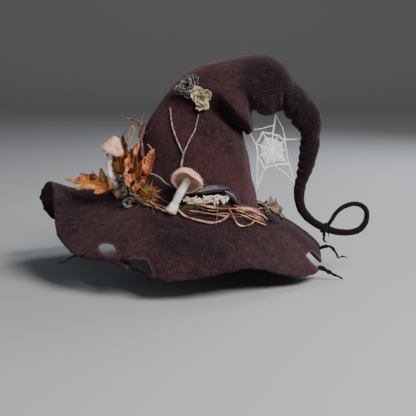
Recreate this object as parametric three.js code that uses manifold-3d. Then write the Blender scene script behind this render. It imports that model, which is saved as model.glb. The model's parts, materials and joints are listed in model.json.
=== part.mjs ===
// A felted witch hat: a soft crown that slumps over into a wired, curling tail, a torn drooping brim, and a
// woodland trimming of vine, leaves, mushrooms, lichen, twigs and a thread web.
// Millimetres, +Z up. The origin is the middle of the head opening. -X is the wearer's front and -Y is the
// trimmed side.
import * as THREE from "three";
import { mergeVertices } from "three/addons/utils/BufferGeometryUtils.js";
import Module from "manifold-3d";

const wasm = await Module();
wasm.setup();

// ---------------------------------------------------------------- driving dimensions
const HEAD_LENGTH = 188; // inside the head opening, front to back
const HEAD_WIDTH = 168; // inside the head opening, side to side
const HEAD_TILT = 8.2; // degrees: the hat sits tipped back, so the opening's back edge is low
const FELT = 4; // thickness of the crown and brim felt
const CROWN_HEIGHT = 206; // head opening to the top of the slumped crown
const BRIM_REACH = 1; // brim width, as a multiple of the spokes listed below
const LIP = 5; // how far the slumped fold hangs out past the cone below it
const STRAND_SWING = 25; // degrees each way that a loose brim strand can flex
const SWING_SPARE = 1.5; // degrees cleared past each of those stops
const SEAT = 0.35; // gap left between touching pieces

const BAND_HEIGHT = 30; // sweatband
const BAND_THICK = 1.6;
const WIRE_RADIUS = 1; // armature wire inside the tail
const CHANNEL_CLEARANCE = 0.6; // around the wire

const THREAD_RADIUS = 0.5; // the web's crochet thread
const WEB_TURNS = 4; // spiral turns of the web
const VINE_RADIUS = 1.7;
const STEM_RADIUS = 5; // big mushroom
const CAP_RADIUS = 20;
const SLIM_STEM_RADIUS = 3;
const SLIM_CAP_RADIUS = 14.5;
const BERRY_RADIUS = 5.5;
const LEAF_THICK = 1.2;

// ---------------------------------------------------------------- materials
const finish = (color, roughness = 0.9, metalness = 0) =>
  new THREE.MeshStandardMaterial({ color, roughness, metalness });
const FELT_DARK = finish("#35282c", 1);
const RIBBON = finish("#1c1718", 0.7);
const WIRE = finish("#8d8f91", 0.35, 1);
const VINE = finish("#a4663f", 0.7);
const STRAW = finish("#b98a55", 0.75);
const CAP = finish("#d9a596", 0.95);
const STEM = finish("#eadccb", 0.95);
const LEAF_OCHRE = finish("#9a6a1e", 0.7);
const LEAF_RUST = finish("#c2561f", 0.65);
const LEAF_ORANGE = finish("#d4832c", 0.65);
const LEAF_GREY = finish("#7d765f", 0.85);
const BERRY = finish("#8e1220", 0.3);
const HUSK = finish("#7d5322", 0.8);
const NEEDLE = finish("#2f3b35", 0.8);
const MOSS = finish("#4b4c40", 1);
const LICHEN = finish("#e6dfc8", 0.95);
const ROSETTE = finish("#8b8d68", 0.85);
const FEATHER = finish("#2b2236", 0.45);
const TWIG = finish("#9c8f85", 0.85);
const TWIG_RED = finish("#6d2d2b", 0.7);
const COTTON = finish("#efeeea", 0.9);

// ---------------------------------------------------------------- making solids
const at = (x, y, z) => new THREE.Vector3(x, y, z);
const radians = THREE.MathUtils.degToRad;
const mix = THREE.MathUtils.lerp;

// The closed surface of a three.js geometry as a solid, turned the right way out.
function solidOf(geometry) {
  const bare = geometry.index ? geometry.toNonIndexed() : geometry.clone();
  bare.deleteAttribute("normal");
  bare.deleteAttribute("uv");
  const merged = mergeVertices(bare, 1e-3);
  const { array } = merged.attributes.position;
  const triangles = [];
  for (let i = 0; i < merged.index.count; i += 3) {
    const [a, b, c] = merged.index.array.slice(i, i + 3);
    if (a !== b && b !== c && c !== a) triangles.push(a, b, c);
  }
  const build = (order) =>
    new wasm.Manifold(
      new wasm.Mesh({ numProp: 3, vertProperties: array, triVerts: new Uint32Array(order) }),
    );
  const made = build(triangles);
  return made.volume() > 0 ? made : build(triangles.reverse());
}

function geometryOf(solid) {
  const mesh = solid.getMesh();
  const count = mesh.numProp;
  const points = new Float32Array(mesh.numVert * 3);
  for (let i = 0; i < mesh.numVert; i++)
    points.set(mesh.vertProperties.subarray(i * count, i * count + 3), i * 3);
  const geometry = new THREE.BufferGeometry();
  geometry.setAttribute("position", new THREE.BufferAttribute(points, 3));
  geometry.setIndex(new THREE.BufferAttribute(mesh.triVerts.slice(), 1));
  geometry.computeVertexNormals();
  return geometry;
}

// The solid with its surface moved outwards by a distance.
function grown(solid, distance) {
  const geometry = geometryOf(solid);
  const { position, normal } = geometry.attributes;
  for (let i = 0; i < position.count; i++)
    position.setXYZ(
      i,
      position.getX(i) + distance * normal.getX(i),
      position.getY(i) + distance * normal.getY(i),
      position.getZ(i) + distance * normal.getZ(i),
    );
  return solidOf(geometry).add(solid);
}

const largest = (solid) =>
  solid.decompose().reduce((best, piece) => (piece.volume() > best.volume() ? piece : best));

// Every vertex of a geometry moved by a function of its place.
function warped(geometry, move) {
  const { position } = geometry.attributes;
  for (let i = 0; i < position.count; i++) {
    const p = move(position.getX(i), position.getY(i), position.getZ(i));
    position.setXYZ(i, p.x, p.y, p.z);
  }
  return geometry;
}

// A round bar along a curve whose radius is a function of how far along it is, 0 to 1.
function bar(points, radius, { sides = 6, steps = 12 } = {}) {
  const curve = new THREE.CatmullRomCurve3(points, false, "centripetal");
  const { normals, binormals } = curve.computeFrenetFrames(steps, false);
  const radiusAt = typeof radius === "function" ? radius : () => radius;
  return solidOf(
    warped(new THREE.CylinderGeometry(1, 1, 1, sides, steps), (x, y, z) => {
      const u = y + 0.5;
      const i = Math.round(u * steps);
      return curve
        .getPointAt(u)
        .addScaledVector(normals[i], x * radiusAt(u))
        .addScaledVector(binormals[i], z * radiusAt(u));
    }),
  );
}

// A closed wall between an outer and an inner skin, both given by place(angle, along, depth), depth 0 to 1.
function wall(place, around, along) {
  const outer = [];
  for (let i = 0; i <= along; i++) outer.push(new THREE.Vector2(2, i));
  const inner = outer.map(({ y }) => new THREE.Vector2(1, y)).reverse();
  const profile = [...outer, ...inner, outer[0]];
  return solidOf(
    warped(new THREE.LatheGeometry(profile, around), (x, y, z) =>
      place(Math.atan2(x, z), y / along, 2 - Math.round(Math.hypot(x, z))),
    ),
  );
}

function transformed(solid, position, rotation = [0, 0, 0], scale = [1, 1, 1]) {
  const matrix = new THREE.Matrix4().compose(
    position,
    new THREE.Quaternion().setFromEuler(new THREE.Euler(...rotation.map(radians))),
    at(...scale),
  );
  return solid.transform(matrix.elements);
}

const joined = (first, ...rest) => rest.reduce((sum, solid) => sum.add(solid), first);

// ---------------------------------------------------------------- the felt crown's shape
// A place given for the size drawn here, moved to suit another head or crown.
const sized = (x, z, y = 0) =>
  at(x * LENGTH_SCALE, y * WIDTH_SCALE, z * (z > 0 ? HEIGHT_SCALE : LENGTH_SCALE));

// Ribs from the head opening to the tail: the front (wearer's) end and the back end of each section, and half
// its depth across. They fan round the slumped fold and close into the tail.
const HALF_LENGTH = HEAD_LENGTH / 2 + FELT;
const RISE = HALF_LENGTH * Math.sin(radians(HEAD_TILT));
const RUN = HALF_LENGTH * Math.cos(radians(HEAD_TILT));
const LENGTH_SCALE = HALF_LENGTH / 98;
const WIDTH_SCALE = (HEAD_WIDTH / 2 + FELT) / 88;
const HEIGHT_SCALE = CROWN_HEIGHT / 206;
const RIBS = [
  { front: [-97, 14], back: [97, -14], depth: 88 },
  { front: [-83, 48], back: [91, 13], depth: 79 },
  { front: [-70, 81], back: [85, 37], depth: 71 },
  { front: [-59, 111], back: [80, 64], depth: 64 },
  { front: [-43, 136], back: [74, 88], depth: 57 },
  { front: [-15, 171], back: [73, 95], depth: 50 },
  { front: [12, 189], back: [83, 106], depth: 49 },
  { front: [42, 198], back: [85, 124], depth: 46 },
  { front: [68, 203], back: [97, 124], depth: 43 },
  { front: [92, 205], back: [111, 124], depth: 40 },
  { front: [111, 201], back: [122, 127], depth: 36 },
  { front: [131, 188], back: [127, 124], depth: 31 },
  { front: [144, 169], back: [132, 118], depth: 26 },
  { front: [158, 156], back: [139, 110], depth: 23 },
  { front: [172, 137], back: [146, 104], depth: 20 },
  { front: [180, 115], back: [151, 96], depth: 17 },
  { front: [180, 92], back: [152, 84], depth: 15 },
  { front: [176, 70], back: [151, 69], depth: 13 },
  { front: [171, 48], back: [148, 50], depth: 11.5 },
  { front: [163, 31], back: [145, 33], depth: 9.5 },
  { front: [159, 16], back: [143, 18], depth: 8 },
  { front: [158.5, 8], back: [143.5, 9], depth: 7.5 },
].map(({ front, back, depth }, i) => ({
  front: i ? sized(...front) : at(-RUN, 0, RISE),
  back: i ? sized(...back) : at(RUN, 0, -RISE),
  depth: depth * WIDTH_SCALE,
}));
const RIB = (index) => index / (RIBS.length - 1); // where a rib lies along the crown, 0 to 1
const FOLD_RIB = 5; // the slumped fold hangs over the cone here
const BULGE_RIB = 9; // the second bulge starts here
const TAIL_RIB = 12; // the tail starts in the dip after the second bulge
const RIB_GAP = 0.002; // half the gap between two pieces along the crown

const frontLine = new THREE.CatmullRomCurve3(RIBS.map(({ front }) => front));
const backLine = new THREE.CatmullRomCurve3(RIBS.map(({ back }) => back));
const depthLine = new THREE.SplineCurve(RIBS.map(({ depth }, i) => new THREE.Vector2(i, depth)));

// A point of the crown: along from 0 at the opening to 1, angle from the back over the trimmed side, inset
// under the outer skin.
function crownPoint(along, angle, inset = 0) {
  const front = frontLine.getPoint(along);
  const back = backLine.getPoint(along);
  const half = back.clone().sub(front).multiplyScalar(0.5);
  const depth = depthLine.getPoint(along).y;
  return front
    .add(half)
    .addScaledVector(half.clone().normalize(), (half.length() - inset) * Math.cos(angle))
    .add(at(0, -(depth - inset) * Math.sin(angle), 0));
}
const crownMiddle = (along) =>
  frontLine.getPoint(along).add(backLine.getPoint(along)).multiplyScalar(0.5);

// ---------------------------------------------------------------- the felt brim's shape
// Spokes every 15 degrees from the back over the trimmed side: where the edge lies, and how far the middle of
// the spoke stands above a straight line.
const SPOKES = [
  { edge: [184, 0, -68], rise: 15 },
  { edge: [179, -46, -82], rise: 14 },
  { edge: [156, -84, -84], rise: 14 },
  { edge: [119, -113, -74], rise: 14 },
  { edge: [76, -142, -61], rise: 16 },
  { edge: [43, -161, -63], rise: 18 },
  { edge: [8, -171, -67], rise: 18 },
  { edge: [-30, -173, -69], rise: 18 },
  { edge: [-66, -166, -61], rise: 16 },
  { edge: [-100, -153, -49], rise: 14 },
  { edge: [-139, -129, -49], rise: 10 },
  { edge: [-173, -90, -29], rise: 4 },
  { edge: [-192, -20, 30], rise: -12 },
  { edge: [-220, 55, -2], rise: 4 },
  { edge: [-210, 108, -41], rise: 12 },
  { edge: [-175, 142, -53], rise: 16 },
  { edge: [-125, 162, -58], rise: 18 },
  { edge: [-70, 172, -61], rise: 20 },
  { edge: [-15, 176, -62], rise: 20 },
  { edge: [40, 174, -60], rise: 20 },
  { edge: [90, 160, -61], rise: 18 },
  { edge: [130, 134, -66], rise: 16 },
  { edge: [164, 95, -66], rise: 16 },
  { edge: [182, 50, -68], rise: 16 },
];
const edgeLine = new THREE.CatmullRomCurve3(
  SPOKES.map(({ edge: [x, y, z] }) => sized(x, z, y)),
  true,
);
const riseLine = new THREE.CatmullRomCurve3(SPOKES.map(({ rise }) => at(0, 0, rise)), true);
const turn = (angle) => (((angle / (2 * Math.PI)) % 1) + 1) % 1;
const RING_AXIS = at(RISE, 0, RUN).normalize(); // square to the head opening, upwards

// A point of the brim's upper skin: out from 0 at the crown to 1 at the edge.
function brimPoint(angle, out) {
  const inner = crownPoint(0, angle, -2 * SEAT).addScaledVector(RING_AXIS, FELT);
  const edge = edgeLine.getPoint(turn(angle)).sub(inner).multiplyScalar(BRIM_REACH).add(inner);
  const middle = inner.clone().lerp(edge, 0.5);
  middle.z += riseLine.getPoint(turn(angle)).z;
  return new THREE.QuadraticBezierCurve3(inner, middle, edge).getPoint(out);
}

// Square to the brim's upper skin, away from the felt.
function brimNormal(angle, out) {
  const step = 0.02;
  const radial = brimPoint(angle, out + step).sub(brimPoint(angle, out - step));
  const across = brimPoint(angle + step, out).sub(brimPoint(angle - step, out));
  return across.cross(radial).normalize();
}

// A place by the crown's foot: an angle in degrees, how far out from the crown and how far above the brim.
function foot(degrees, outwards, above) {
  const angle = radians(degrees);
  const reach = brimPoint(angle, 1).distanceTo(brimPoint(angle, 0));
  const out = 0.03 + outwards / reach;
  return brimPoint(angle, out).addScaledVector(brimNormal(angle, out), above);
}

// ---------------------------------------------------------------- felt pieces
function crownCone() {
  const top = RIB(FOLD_RIB) - 2 * RIB_GAP;
  return wall((angle, along, depth) => crownPoint(along * top, angle, depth * FELT), 36, 6);
}

// The fold's lower edge hangs out by LIP, most at the back and on the trimmed side.
function crownFold() {
  const from = RIB(FOLD_RIB) + 2 * RIB_GAP;
  const to = RIB(BULGE_RIB) - RIB_GAP;
  return wall((angle, along, depth) => {
    const hang = LIP * Math.max(0, Math.cos(angle - radians(45))) * Math.max(0, 1 - 2.3 * along);
    return crownPoint(mix(from, to, along), angle, depth ? FELT : -hang);
  }, 28, 6);
}

// A stretch of plain crown between two ribs.
function crownSleeve(first, last, around, rows) {
  const from = RIB(first) + RIB_GAP;
  const to = RIB(last) - RIB_GAP;
  return wall(
    (angle, along, depth) => crownPoint(mix(from, to, along), angle, depth * FELT),
    around,
    rows,
  );
}

const NECK = crownMiddle(1); // the tail bends here
const NECK_RADIUS = 7.5;
const TIP_RADIUS = 2.8;

function tail() {
  const hollow = crownSleeve(TAIL_RIB, RIBS.length - 1, 16, 12);
  const socket = solidOf(new THREE.SphereGeometry(NECK_RADIUS + 2 * SEAT, 14, 10));
  return largest(hollow.subtract(transformed(socket, NECK)));
}

// The wired end of the tail: down and back from the neck, then round in one loop towards itself.
const CURL_LINE = [
  [0, 0], [1.5, -9], [5, -19.5], [12, -28.5], [20, -35.5], [30, -41.5], [42, -46.5], [57, -50.5],
  [72, -50.5], [84, -47], [92, -38.5], [95, -27], [93, -18], [86, -11.5], [76, -9.5], [67, -11.5],
  [58, -16], [51, -23], [47, -31], [44, -36],
].map(([x, z], i) => at(x, -0.4 * i, z).add(NECK));
const curlRadius = (u) => mix(NECK_RADIUS, TIP_RADIUS, Math.pow(u, 0.55));
const KNOT_AT = 0.29; // how far along the curl the knot sits, 0 to 1
const CHANNEL_RADIUS = WIRE_RADIUS + CHANNEL_CLEARANCE;

function tailCurl() {
  const ball = solidOf(new THREE.SphereGeometry(NECK_RADIUS, 14, 10));
  const cord = bar(CURL_LINE, curlRadius, { sides: 8, steps: 30 });
  const channel = [CURL_LINE[0].clone().add(at(-3, 0, 12)), ...CURL_LINE.slice(0, -2)];
  return joined(cord, transformed(ball, NECK)).subtract(
    bar(channel, CHANNEL_RADIUS, { sides: 5, steps: 30 }),
  );
}

const curlWire = () => bar(CURL_LINE.slice(0, -3), WIRE_RADIUS, { sides: 5, steps: 28 });

// It stops short of the neck, so that the neck can bend.
function tailWire() {
  const middles = [9, 11, 13, 15, 17, 19].map((index) => crownMiddle(RIB(index)));
  return bar(middles, WIRE_RADIUS, { sides: 5, steps: 14 });
}

// Where the tip meets the cord again it is tied: a wrap of felt and its short loose end.
function tailKnot() {
  const curve = new THREE.CatmullRomCurve3(CURL_LINE, false, "centripetal");
  const place = curve.getPointAt(KNOT_AT);
  const wrap = new THREE.TorusGeometry(curlRadius(KNOT_AT) + 2.5, 2, 6, 14);
  wrap.applyQuaternion(
    new THREE.Quaternion().setFromUnitVectors(at(0, 0, 1), curve.getTangentAt(KNOT_AT)),
  );
  wrap.translate(...place);
  const end = [at(-1, -2, -6), at(-1, -3, -11), at(-2, -3, -17), at(4, -3, -21)];
  return solidOf(wrap).add(
    bar(end.map((p) => p.add(place)), (u) => mix(2.2, 1.2, u), { steps: 6 }),
  );
}

// Torn holes through the brim: where each lies, how far behind that its cut starts, and its outline.
const TEARS = {
  oval: {
    spoke: 138.5,
    out: 0.865,
    behind: 56,
    outline: [
      [12, 0], [10.4, 2.8], [6, 4.8], [0, 5.5], [-6, 4.8], [-10.4, 2.8],
      [-12, 0], [-10.4, -2.8], [-6, -4.8], [0, -5.5], [6, -4.8], [10.4, -2.8],
    ],
  },
  bite: {
    spoke: 118,
    out: 0.93,
    behind: 81,
    outline: [[-16, -30], [-16, 5], [-11, 9], [4, 9], [11, 4], [14, -3], [16, -10], [22, -30]],
  },
  notch: {
    spoke: 19,
    out: 0.895,
    behind: 24,
    outline: [[-9, 9], [1, 10], [9, 2], [22, -4], [22, -9], [8, -9], [-1, -1]],
  },
};
const TEAR_DEPTH = 200; // every cutter runs clear of the brim
const tearPlace = ({ spoke, out }) => brimPoint(radians(spoke), out);

function tearCutter(tear) {
  const shape = new THREE.Shape(tear.outline.map(([u, v]) => new THREE.Vector2(u, v)));
  const block = new THREE.ExtrudeGeometry(shape, { depth: TEAR_DEPTH, bevelEnabled: false });
  return transformed(solidOf(block), tearPlace(tear).add(at(0, tear.behind, 0)), [90, 0, 0]);
}

// Ragged strands of twisted felt at the brim's edge, each from a spoke angle and the bends of its run.
function strand(degrees, bends, thick, thin) {
  const root = brimPoint(radians(degrees), 0.98);
  const line = [root, ...bends.map((bend) => root.clone().add(at(...bend)))];
  return { root, solid: bar(line, (u) => mix(thick, thin, u), { steps: 3 * line.length }) };
}
const STRANDS = {
  tendril_front: strand(148, [[-8, -1, 2], [-14, 0, 1], [-26, 1, -6], [-36, 2, -10]], 2.4, 1.1),
  tendril_back_upper: strand(
    359,
    [[8, -3, 3], [15, -5, 2], [22, -6, -6], [25, -4, -13], [31, -4, -11], [39, -2, -14]],
    3,
    1.2,
  ),
  tendril_back_lower: strand(17, [[9, 0, -4], [20, 0, -10], [34, 1, -17]], 3.6, 1.1),
};

// The space that a strand sweeps as it swings about its root.
function swept({ root, solid }) {
  const swings = [-1, -0.75, -0.5, -0.25, 0, 0.25, 0.5, 0.75, 1].map((share) =>
    solid.transform(
      new THREE.Matrix4()
        .makeTranslation(root)
        .multiply(new THREE.Matrix4().makeRotationY(radians(share * (STRAND_SWING + SWING_SPARE))))
        .multiply(new THREE.Matrix4().makeTranslation(root.clone().negate())).elements,
    ),
  );
  return joined(...swings.map((solid) => grown(solid, SEAT)));
}

function brim() {
  const felt = wall((angle, along, depth) => {
    const normal = brimNormal(angle, mix(0.03, 0.97, along));
    return brimPoint(angle, along).addScaledVector(normal, -depth * FELT);
  }, 60, 6);
  const cuts = [...Object.values(TEARS).map(tearCutter), ...Object.values(STRANDS).map(swept)];
  return largest(cuts.reduce((left, cut) => left.subtract(cut), felt));
}

// The thin strip left across the bite in the brim's edge.
function brimStrip() {
  const bends = [
    [-18, 3, 11], [-12, 1, 4], [-7, -1, -2], [-1, -3, -2], [5, -5, -5], [10, -7, -12], [17, -9, -14],
  ];
  const line = bends.map((bend) => tearPlace(TEARS.bite).add(at(...bend)));
  return bar(line, 2.6, { steps: 14 });
}

// The band rises from the opening; the second rib stands RIB_RISE above the first.
const RIB_RISE = 33;
function sweatband() {
  const top = RIB(BAND_HEIGHT / (RIB_RISE * HEIGHT_SCALE));
  return wall(
    (angle, along, depth) => crownPoint(top * along, angle, FELT + SEAT + depth * BAND_THICK),
    36,
    2,
  );
}

// ---------------------------------------------------------------- seats on the felt
const cone = crownCone();
const fold = crownFold();
const flap = brim();
const felt = [cone, fold, flap].map((solid) => new THREE.Mesh(geometryOf(solid)));

// The place on the felt met by a level line from the trimmed side, lifted off it.
function onFelt([x, z, lift]) {
  const from = sized(x, z, -400);
  const [hit] = new THREE.Raycaster(from, at(0, 1, 0)).intersectObjects(felt);
  return hit.point.addScaledVector(hit.face.normal, lift);
}
const byFelt = (points) => points.map(onFelt);
const inAir = (points) => points.map(([x, y, z]) => sized(x, z, y));
const taper = (from, to) => (u) => mix(from, to, u);
const swell = (ends, middle) => (u) => ends + (middle - ends) * Math.sin(Math.PI * u);

// A solid drawn along local +Y with its face up +Z, put where it starts, runs to and faces.
function posed(solid, from, to, facing) {
  const y = to.clone().sub(from).normalize();
  const z = facing.clone().addScaledVector(y, -facing.dot(y)).normalize();
  return solid.transform(new THREE.Matrix4().makeBasis(y.clone().cross(z), y, z).setPosition(from).elements);
}

// ---------------------------------------------------------------- the vine wreath
const vine = (points, radius) => bar(byFelt(points), radius, { sides: 5, steps: 3 * points.length });

// The base ring goes all round the crown's foot.
function vineRing() {
  const hoop = new THREE.TorusGeometry(10, 1, 5, 48);
  return solidOf(
    warped(hoop, (x, y, z) =>
      foot(
        THREE.MathUtils.radToDeg(Math.atan2(y, x)),
        3.6 + VINE_RADIUS * (Math.hypot(x, y) - 10),
        2.6 + VINE_RADIUS * z,
      ),
    ),
  );
}

// Each run of vine: its thickness against the ring's, then its places on the felt.
const RUNS = {
  vine_loop: [1, [-15, 1, 7], [-8, -2, 4], [4, -6, 3], [16, -9, 3], [30, -11, 3], [42, -9, 3], [52, -6, 6]],
  vine_inner: [1, [-4, 12, 7], [8, 11, 10], [20, 4, 10], [32, 2, 9], [44, 1, 8], [54, 1, 8]],
  vine_gold: [0.7, [46, 2, 13], [55, -8, 7], [62, -15, 3], [70, -18, 3], [78, -18, 3], [86, -15, 3]],
  vine_outer: [1, [58, 4, 5], [68, 0, 6], [78, -5, 6], [90, -11, 6], [100, -17, 4]],
  vine_upper: [0.8, [57, -3, 7], [66, -7, 8], [76, -11, 7], [88, -16, 6], [98, -20, 4]],
  vine_front: [0.7, [-76, 16, 10], [-65, 12, 9], [-52, 8, 8], [-40, 4, 6], [-31, 1, 4]],
};

function vines() {
  const made = {};
  for (const [name, [thick, ...run]] of Object.entries(RUNS))
    made[name] = vine(run, thick * VINE_RADIUS);
  const tie = [[33, 6, 1], [33, 0, 12], [34, -8, 8], [34, -13, 1]];
  made.stitch = bar(byFelt(tie), THREAD_RADIUS, { sides: 4, steps: 8 });
  return made;
}

// ---------------------------------------------------------------- mushrooms
// A cap as a turned profile with a shallow hollow for its gills, its rim at z = 0.
function cap(radius, height) {
  const profile = [
    [0, 1], [0.42, 0.94], [0.75, 0.7], [0.96, 0.3], [1, 0.06], [0.96, 0], [0.78, 0.08], [0.4, 0.2], [0, 0.24],
  ];
  const turned = new THREE.LatheGeometry(
    profile.map(([r, z]) => new THREE.Vector2(r * radius, z * height)),
    18,
  );
  return solidOf(turned);
}

// The cap stands on the stem's end and points along its own axis.
function mushroom({ line, radius, bulb, capRadius, capHeight, axis }) {
  const top = line[line.length - 1];
  const foot = top.clone().addScaledVector(axis, -0.3 * capHeight);
  const stem = (u) => radius * mix(bulb, 1, Math.min(1, 2.5 * u));
  return {
    stem: bar(line, stem, { sides: 10, steps: 12 }),
    cap: posed(cap(capRadius, capHeight), foot, top.clone().add(axis), at(0, -1, 0)),
  };
}

const bigMushroom = mushroom({
  line: inAir([[-25, -99, 3], [-20, -98, 13], [-11, -97, 30], [-2, -94, 46]]),
  radius: STEM_RADIUS,
  bulb: 1.3,
  capRadius: CAP_RADIUS,
  capHeight: 0.85 * CAP_RADIUS,
  axis: at(0.19, 0.75, 0.64).normalize(),
});
const slimMushroom = mushroom({
  line: inAir([
    [-86, -53, 20], [-95, -55, 31], [-103, -56, 40], [-107, -57, 50],
    [-108, -57, 60], [-106, -57, 70], [-102, -57, 85],
  ]),
  radius: SLIM_STEM_RADIUS,
  bulb: 1.15,
  capRadius: SLIM_CAP_RADIUS,
  capHeight: 1.35 * SLIM_CAP_RADIUS,
  axis: at(0.3, 0, 0.95).normalize(),
});

// ---------------------------------------------------------------- leaves
// The outline of a five-lobed leaf with its stalk end at the origin.
function lobed(length, spread) {
  const outline = [[0.03, -0.02]];
  [[-66, 0.62], [-34, 0.88], [0, 1], [34, 0.88], [66, 0.62]].forEach(([degrees, reach], i, tips) => {
    const ray = (turned, r) => [
      r * Math.sin(radians(degrees + turned)),
      0.12 + 0.88 * r * Math.cos(radians(degrees + turned)),
    ];
    for (const [turned, r] of [[-12, 0.6], [-8, 0.74], [0, 1], [8, 0.74], [12, 0.6]])
      outline.push(ray(turned, r * reach));
    if (i < tips.length - 1) outline.push(ray(17, 0.38));
  });
  return outline.reverse().map(([x, y]) => new THREE.Vector2(spread * x * length, y * length));
}

// The outline of a pointed oval leaf.
function oval(length, width) {
  const edge = [[0, 0], [0.35, 0.12], [0.5, 0.35], [0.42, 0.62], [0.2, 0.86], [0, 1]];
  const right = edge.map(([x, y]) => new THREE.Vector2(x * width, y * length));
  const left = right.slice(1, -1).reverse().map(({ x, y }) => new THREE.Vector2(-x, y));
  return [...right, ...left];
}

// A leaf cupped across its width and curled along its length.
function leaf(outline, cup, curl) {
  const blade = new THREE.ExtrudeGeometry(new THREE.Shape(outline), {
    depth: LEAF_THICK,
    bevelEnabled: false,
  });
  const length = Math.max(...outline.map(({ y }) => y));
  return solidOf(
    warped(blade, (x, y, z) => at(x, y, z + (cup * x * x) / length + (curl * y * (length - y)) / length)),
  );
}

// A leaf between two places: its outline, that outline's width, the way it faces, its cup and its curl.
function leafFrom([from, to], [outline, width], facing, [cup, curl]) {
  return posed(leaf(outline(from.distanceTo(to), width), cup, curl), from, to, facing);
}

function leaves() {
  const air = (from, to) => inAir([from, to]);
  const onto = (from, to) => byFelt([from, to]);
  const side = at(-0.5, -0.85, 0.15);
  return {
    leaf_ochre: leafFrom(
      air([-86, -46, 34], [-79, -44, 108]), [lobed, 0.62], at(-0.45, -0.9, 0.1), [0.9, 0.1],
    ),
    leaf_rust: leafFrom(onto([-60, 34, 8], [-57, 90, 8]), [lobed, 0.72], side, [-0.6, -0.2]),
    leaf_rust_side: leafFrom(onto([-51, 49, 8], [-39, 79, 9]), [oval, 15], side, [1, 0.3]),
    leaf_orange: leafFrom(
      air([-104, -42, 24], [-170, -36, 34]), [lobed, 0.55], at(0.1, -0.75, 0.65), [0.3, 0.12],
    ),
    leaf_yellow: leafFrom(
      air([-112, -36, 28], [-123, -36, 54]), [oval, 11], at(-0.2, -0.95, 0.2), [0.5, 0.2],
    ),
    leaf_pink: leafFrom(
      air([-99, -62, 16], [-85, -60, 40]), [oval, 10], at(-0.3, -0.9, 0.3), [1, 0.2],
    ),
    leaf_grey: leafFrom(onto([88, -5, 9], [121, -27, 7]), [oval, 17], at(0.4, -0.5, 0.75), [1.2, 0.2]),
    leaf_grey_upright: leafFrom(
      air([113, -16, -12], [110, -16, 12]), [oval, 8], at(0.2, -1, 0.1), [1, 0.2],
    ),
    sprig_leaf: leafFrom(
      air([-78, -66, 20], [-84, -76, 4]), [oval, 18], at(-0.4, -0.8, 0.5), [0.6, 0.1],
    ),
    feather_long: leafFrom(onto([6, 26, 12], [51, 29, 5]), [oval, 11], at(0.2, -0.95, 0.1), [0.4, 0.1]),
    feather_short: leafFrom(
      onto([43, 26, 10], [62, 8, 6]), [oval, 10], at(0.55, -0.8, 0.2), [0.4, 0.1],
    ),
  };
}

// ---------------------------------------------------------------- berries, husk, moss and lichen
// A rounded lump whose radius swells and dips in lobes.
function lump(centre, [x, y, z], lobes, depth, facing = at(0, 0, 1)) {
  const ball = warped(new THREE.SphereGeometry(1, 14, 9).rotateX(Math.PI / 2), (u, v, w) => {
    const reach = 1 + depth * Math.cos(lobes * Math.atan2(v, u)) * (1 - w * w);
    return at(u * reach * x, v * reach * y, w * z);
  });
  ball.applyQuaternion(new THREE.Quaternion().setFromUnitVectors(at(0, 0, 1), facing.normalize()));
  return solidOf(ball.translate(...centre));
}

function lumps() {
  const round = [BERRY_RADIUS, BERRY_RADIUS, BERRY_RADIUS];
  const moss = [[-4, 3, 6], [8, 4, 7], [20, 4, 7], [32, 3, 7], [46, 2, 6]];
  const lichen = [[2, 17, 6], [13, 16, 7], [24, 16, 7], [34, 16, 7], [45, 14, 6]];
  return {
    berry_red: lump(sized(-131, 40, -34), round, 0, 0),
    seed_husk: lump(onFelt([-49, 21, 8]), [13.5, 13.5, 8], 7, 0.12, at(-0.45, -0.85, 0.25)),
    sprig_needles: lump(onFelt([-72, 29, 10]), [7, 12, 7], 5, 0.25, at(-0.5, -0.85, 0)),
    moss_pad: bar(byFelt(moss), swell(2.5, 4.6), { sides: 8 }),
    lichen_white: bar(byFelt(lichen), swell(4, 7), { sides: 8 }),
    lichen_stem: lump(onFelt([-4, 19, 7]), [6, 8, 5], 5, 0.15, at(-0.1, -0.95, 0.2)),
    rosette_green: lump(onFelt([12, 143, 4]), [14, 18, 6], 6, 0.16, at(0.1, -0.9, 0.4)),
    rosette_grey: lump(onFelt([-13, 156, 5]), [13, 16, 6], 5, 0.18, at(-0.3, -0.8, 0.5)),
  };
}

// ---------------------------------------------------------------- twigs
const twig = (points, thick, thin, steps = 8) => bar(points, taper(thick, thin), { sides: 5, steps });

function twigs() {
  const stalk = [[-11, 57, 2.4], [-10, 67, 2.4], [-8, 77, 2.4]];
  const left = [[-8, 76, 2.4], [-12, 84, 2.4], [-19, 99, 2.4], [-23, 112, 2.4], [-26, 136, 2.4]];
  const right = [[-8, 76, 2.4], [-4, 86, 2.4], [0, 95, 2.4], [6, 105, 2.4], [12, 127, 2.4]];
  const fork = sized(-65, 108, -19);
  const root = [...byFelt([[-55, 66, 12], [-59, 87, 9], [-62, 96, 7]]), fork];
  const tip = [fork, ...inAir([[-71, -20, 114], [-76, -20, 117], [-85, -20, 119], [-96, -20, 123]])];
  return {
    twig_forked: joined(
      twig(byFelt(stalk), 1.7, 1.5, 4),
      twig(byFelt(left), 1.5, 0.8),
      twig(byFelt(right), 1.4, 0.8),
    ),
    twig_cross: twig(byFelt([[-50, 48, 12], [-40, 45, 9], [-29, 37, 7], [-17, 32, 6]]), 1.1, 0.8),
    root_red: joined(bar(root, taper(2.8, 2), { steps: 6 }), twig(tip, 2, 0.8)),
    twig_pale: twig(byFelt([[-53, 84, 6], [-47, 78, 6], [-48, 71, 7], [-51, 61, 9]]), 1.2, 0.8),
  };
}

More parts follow.
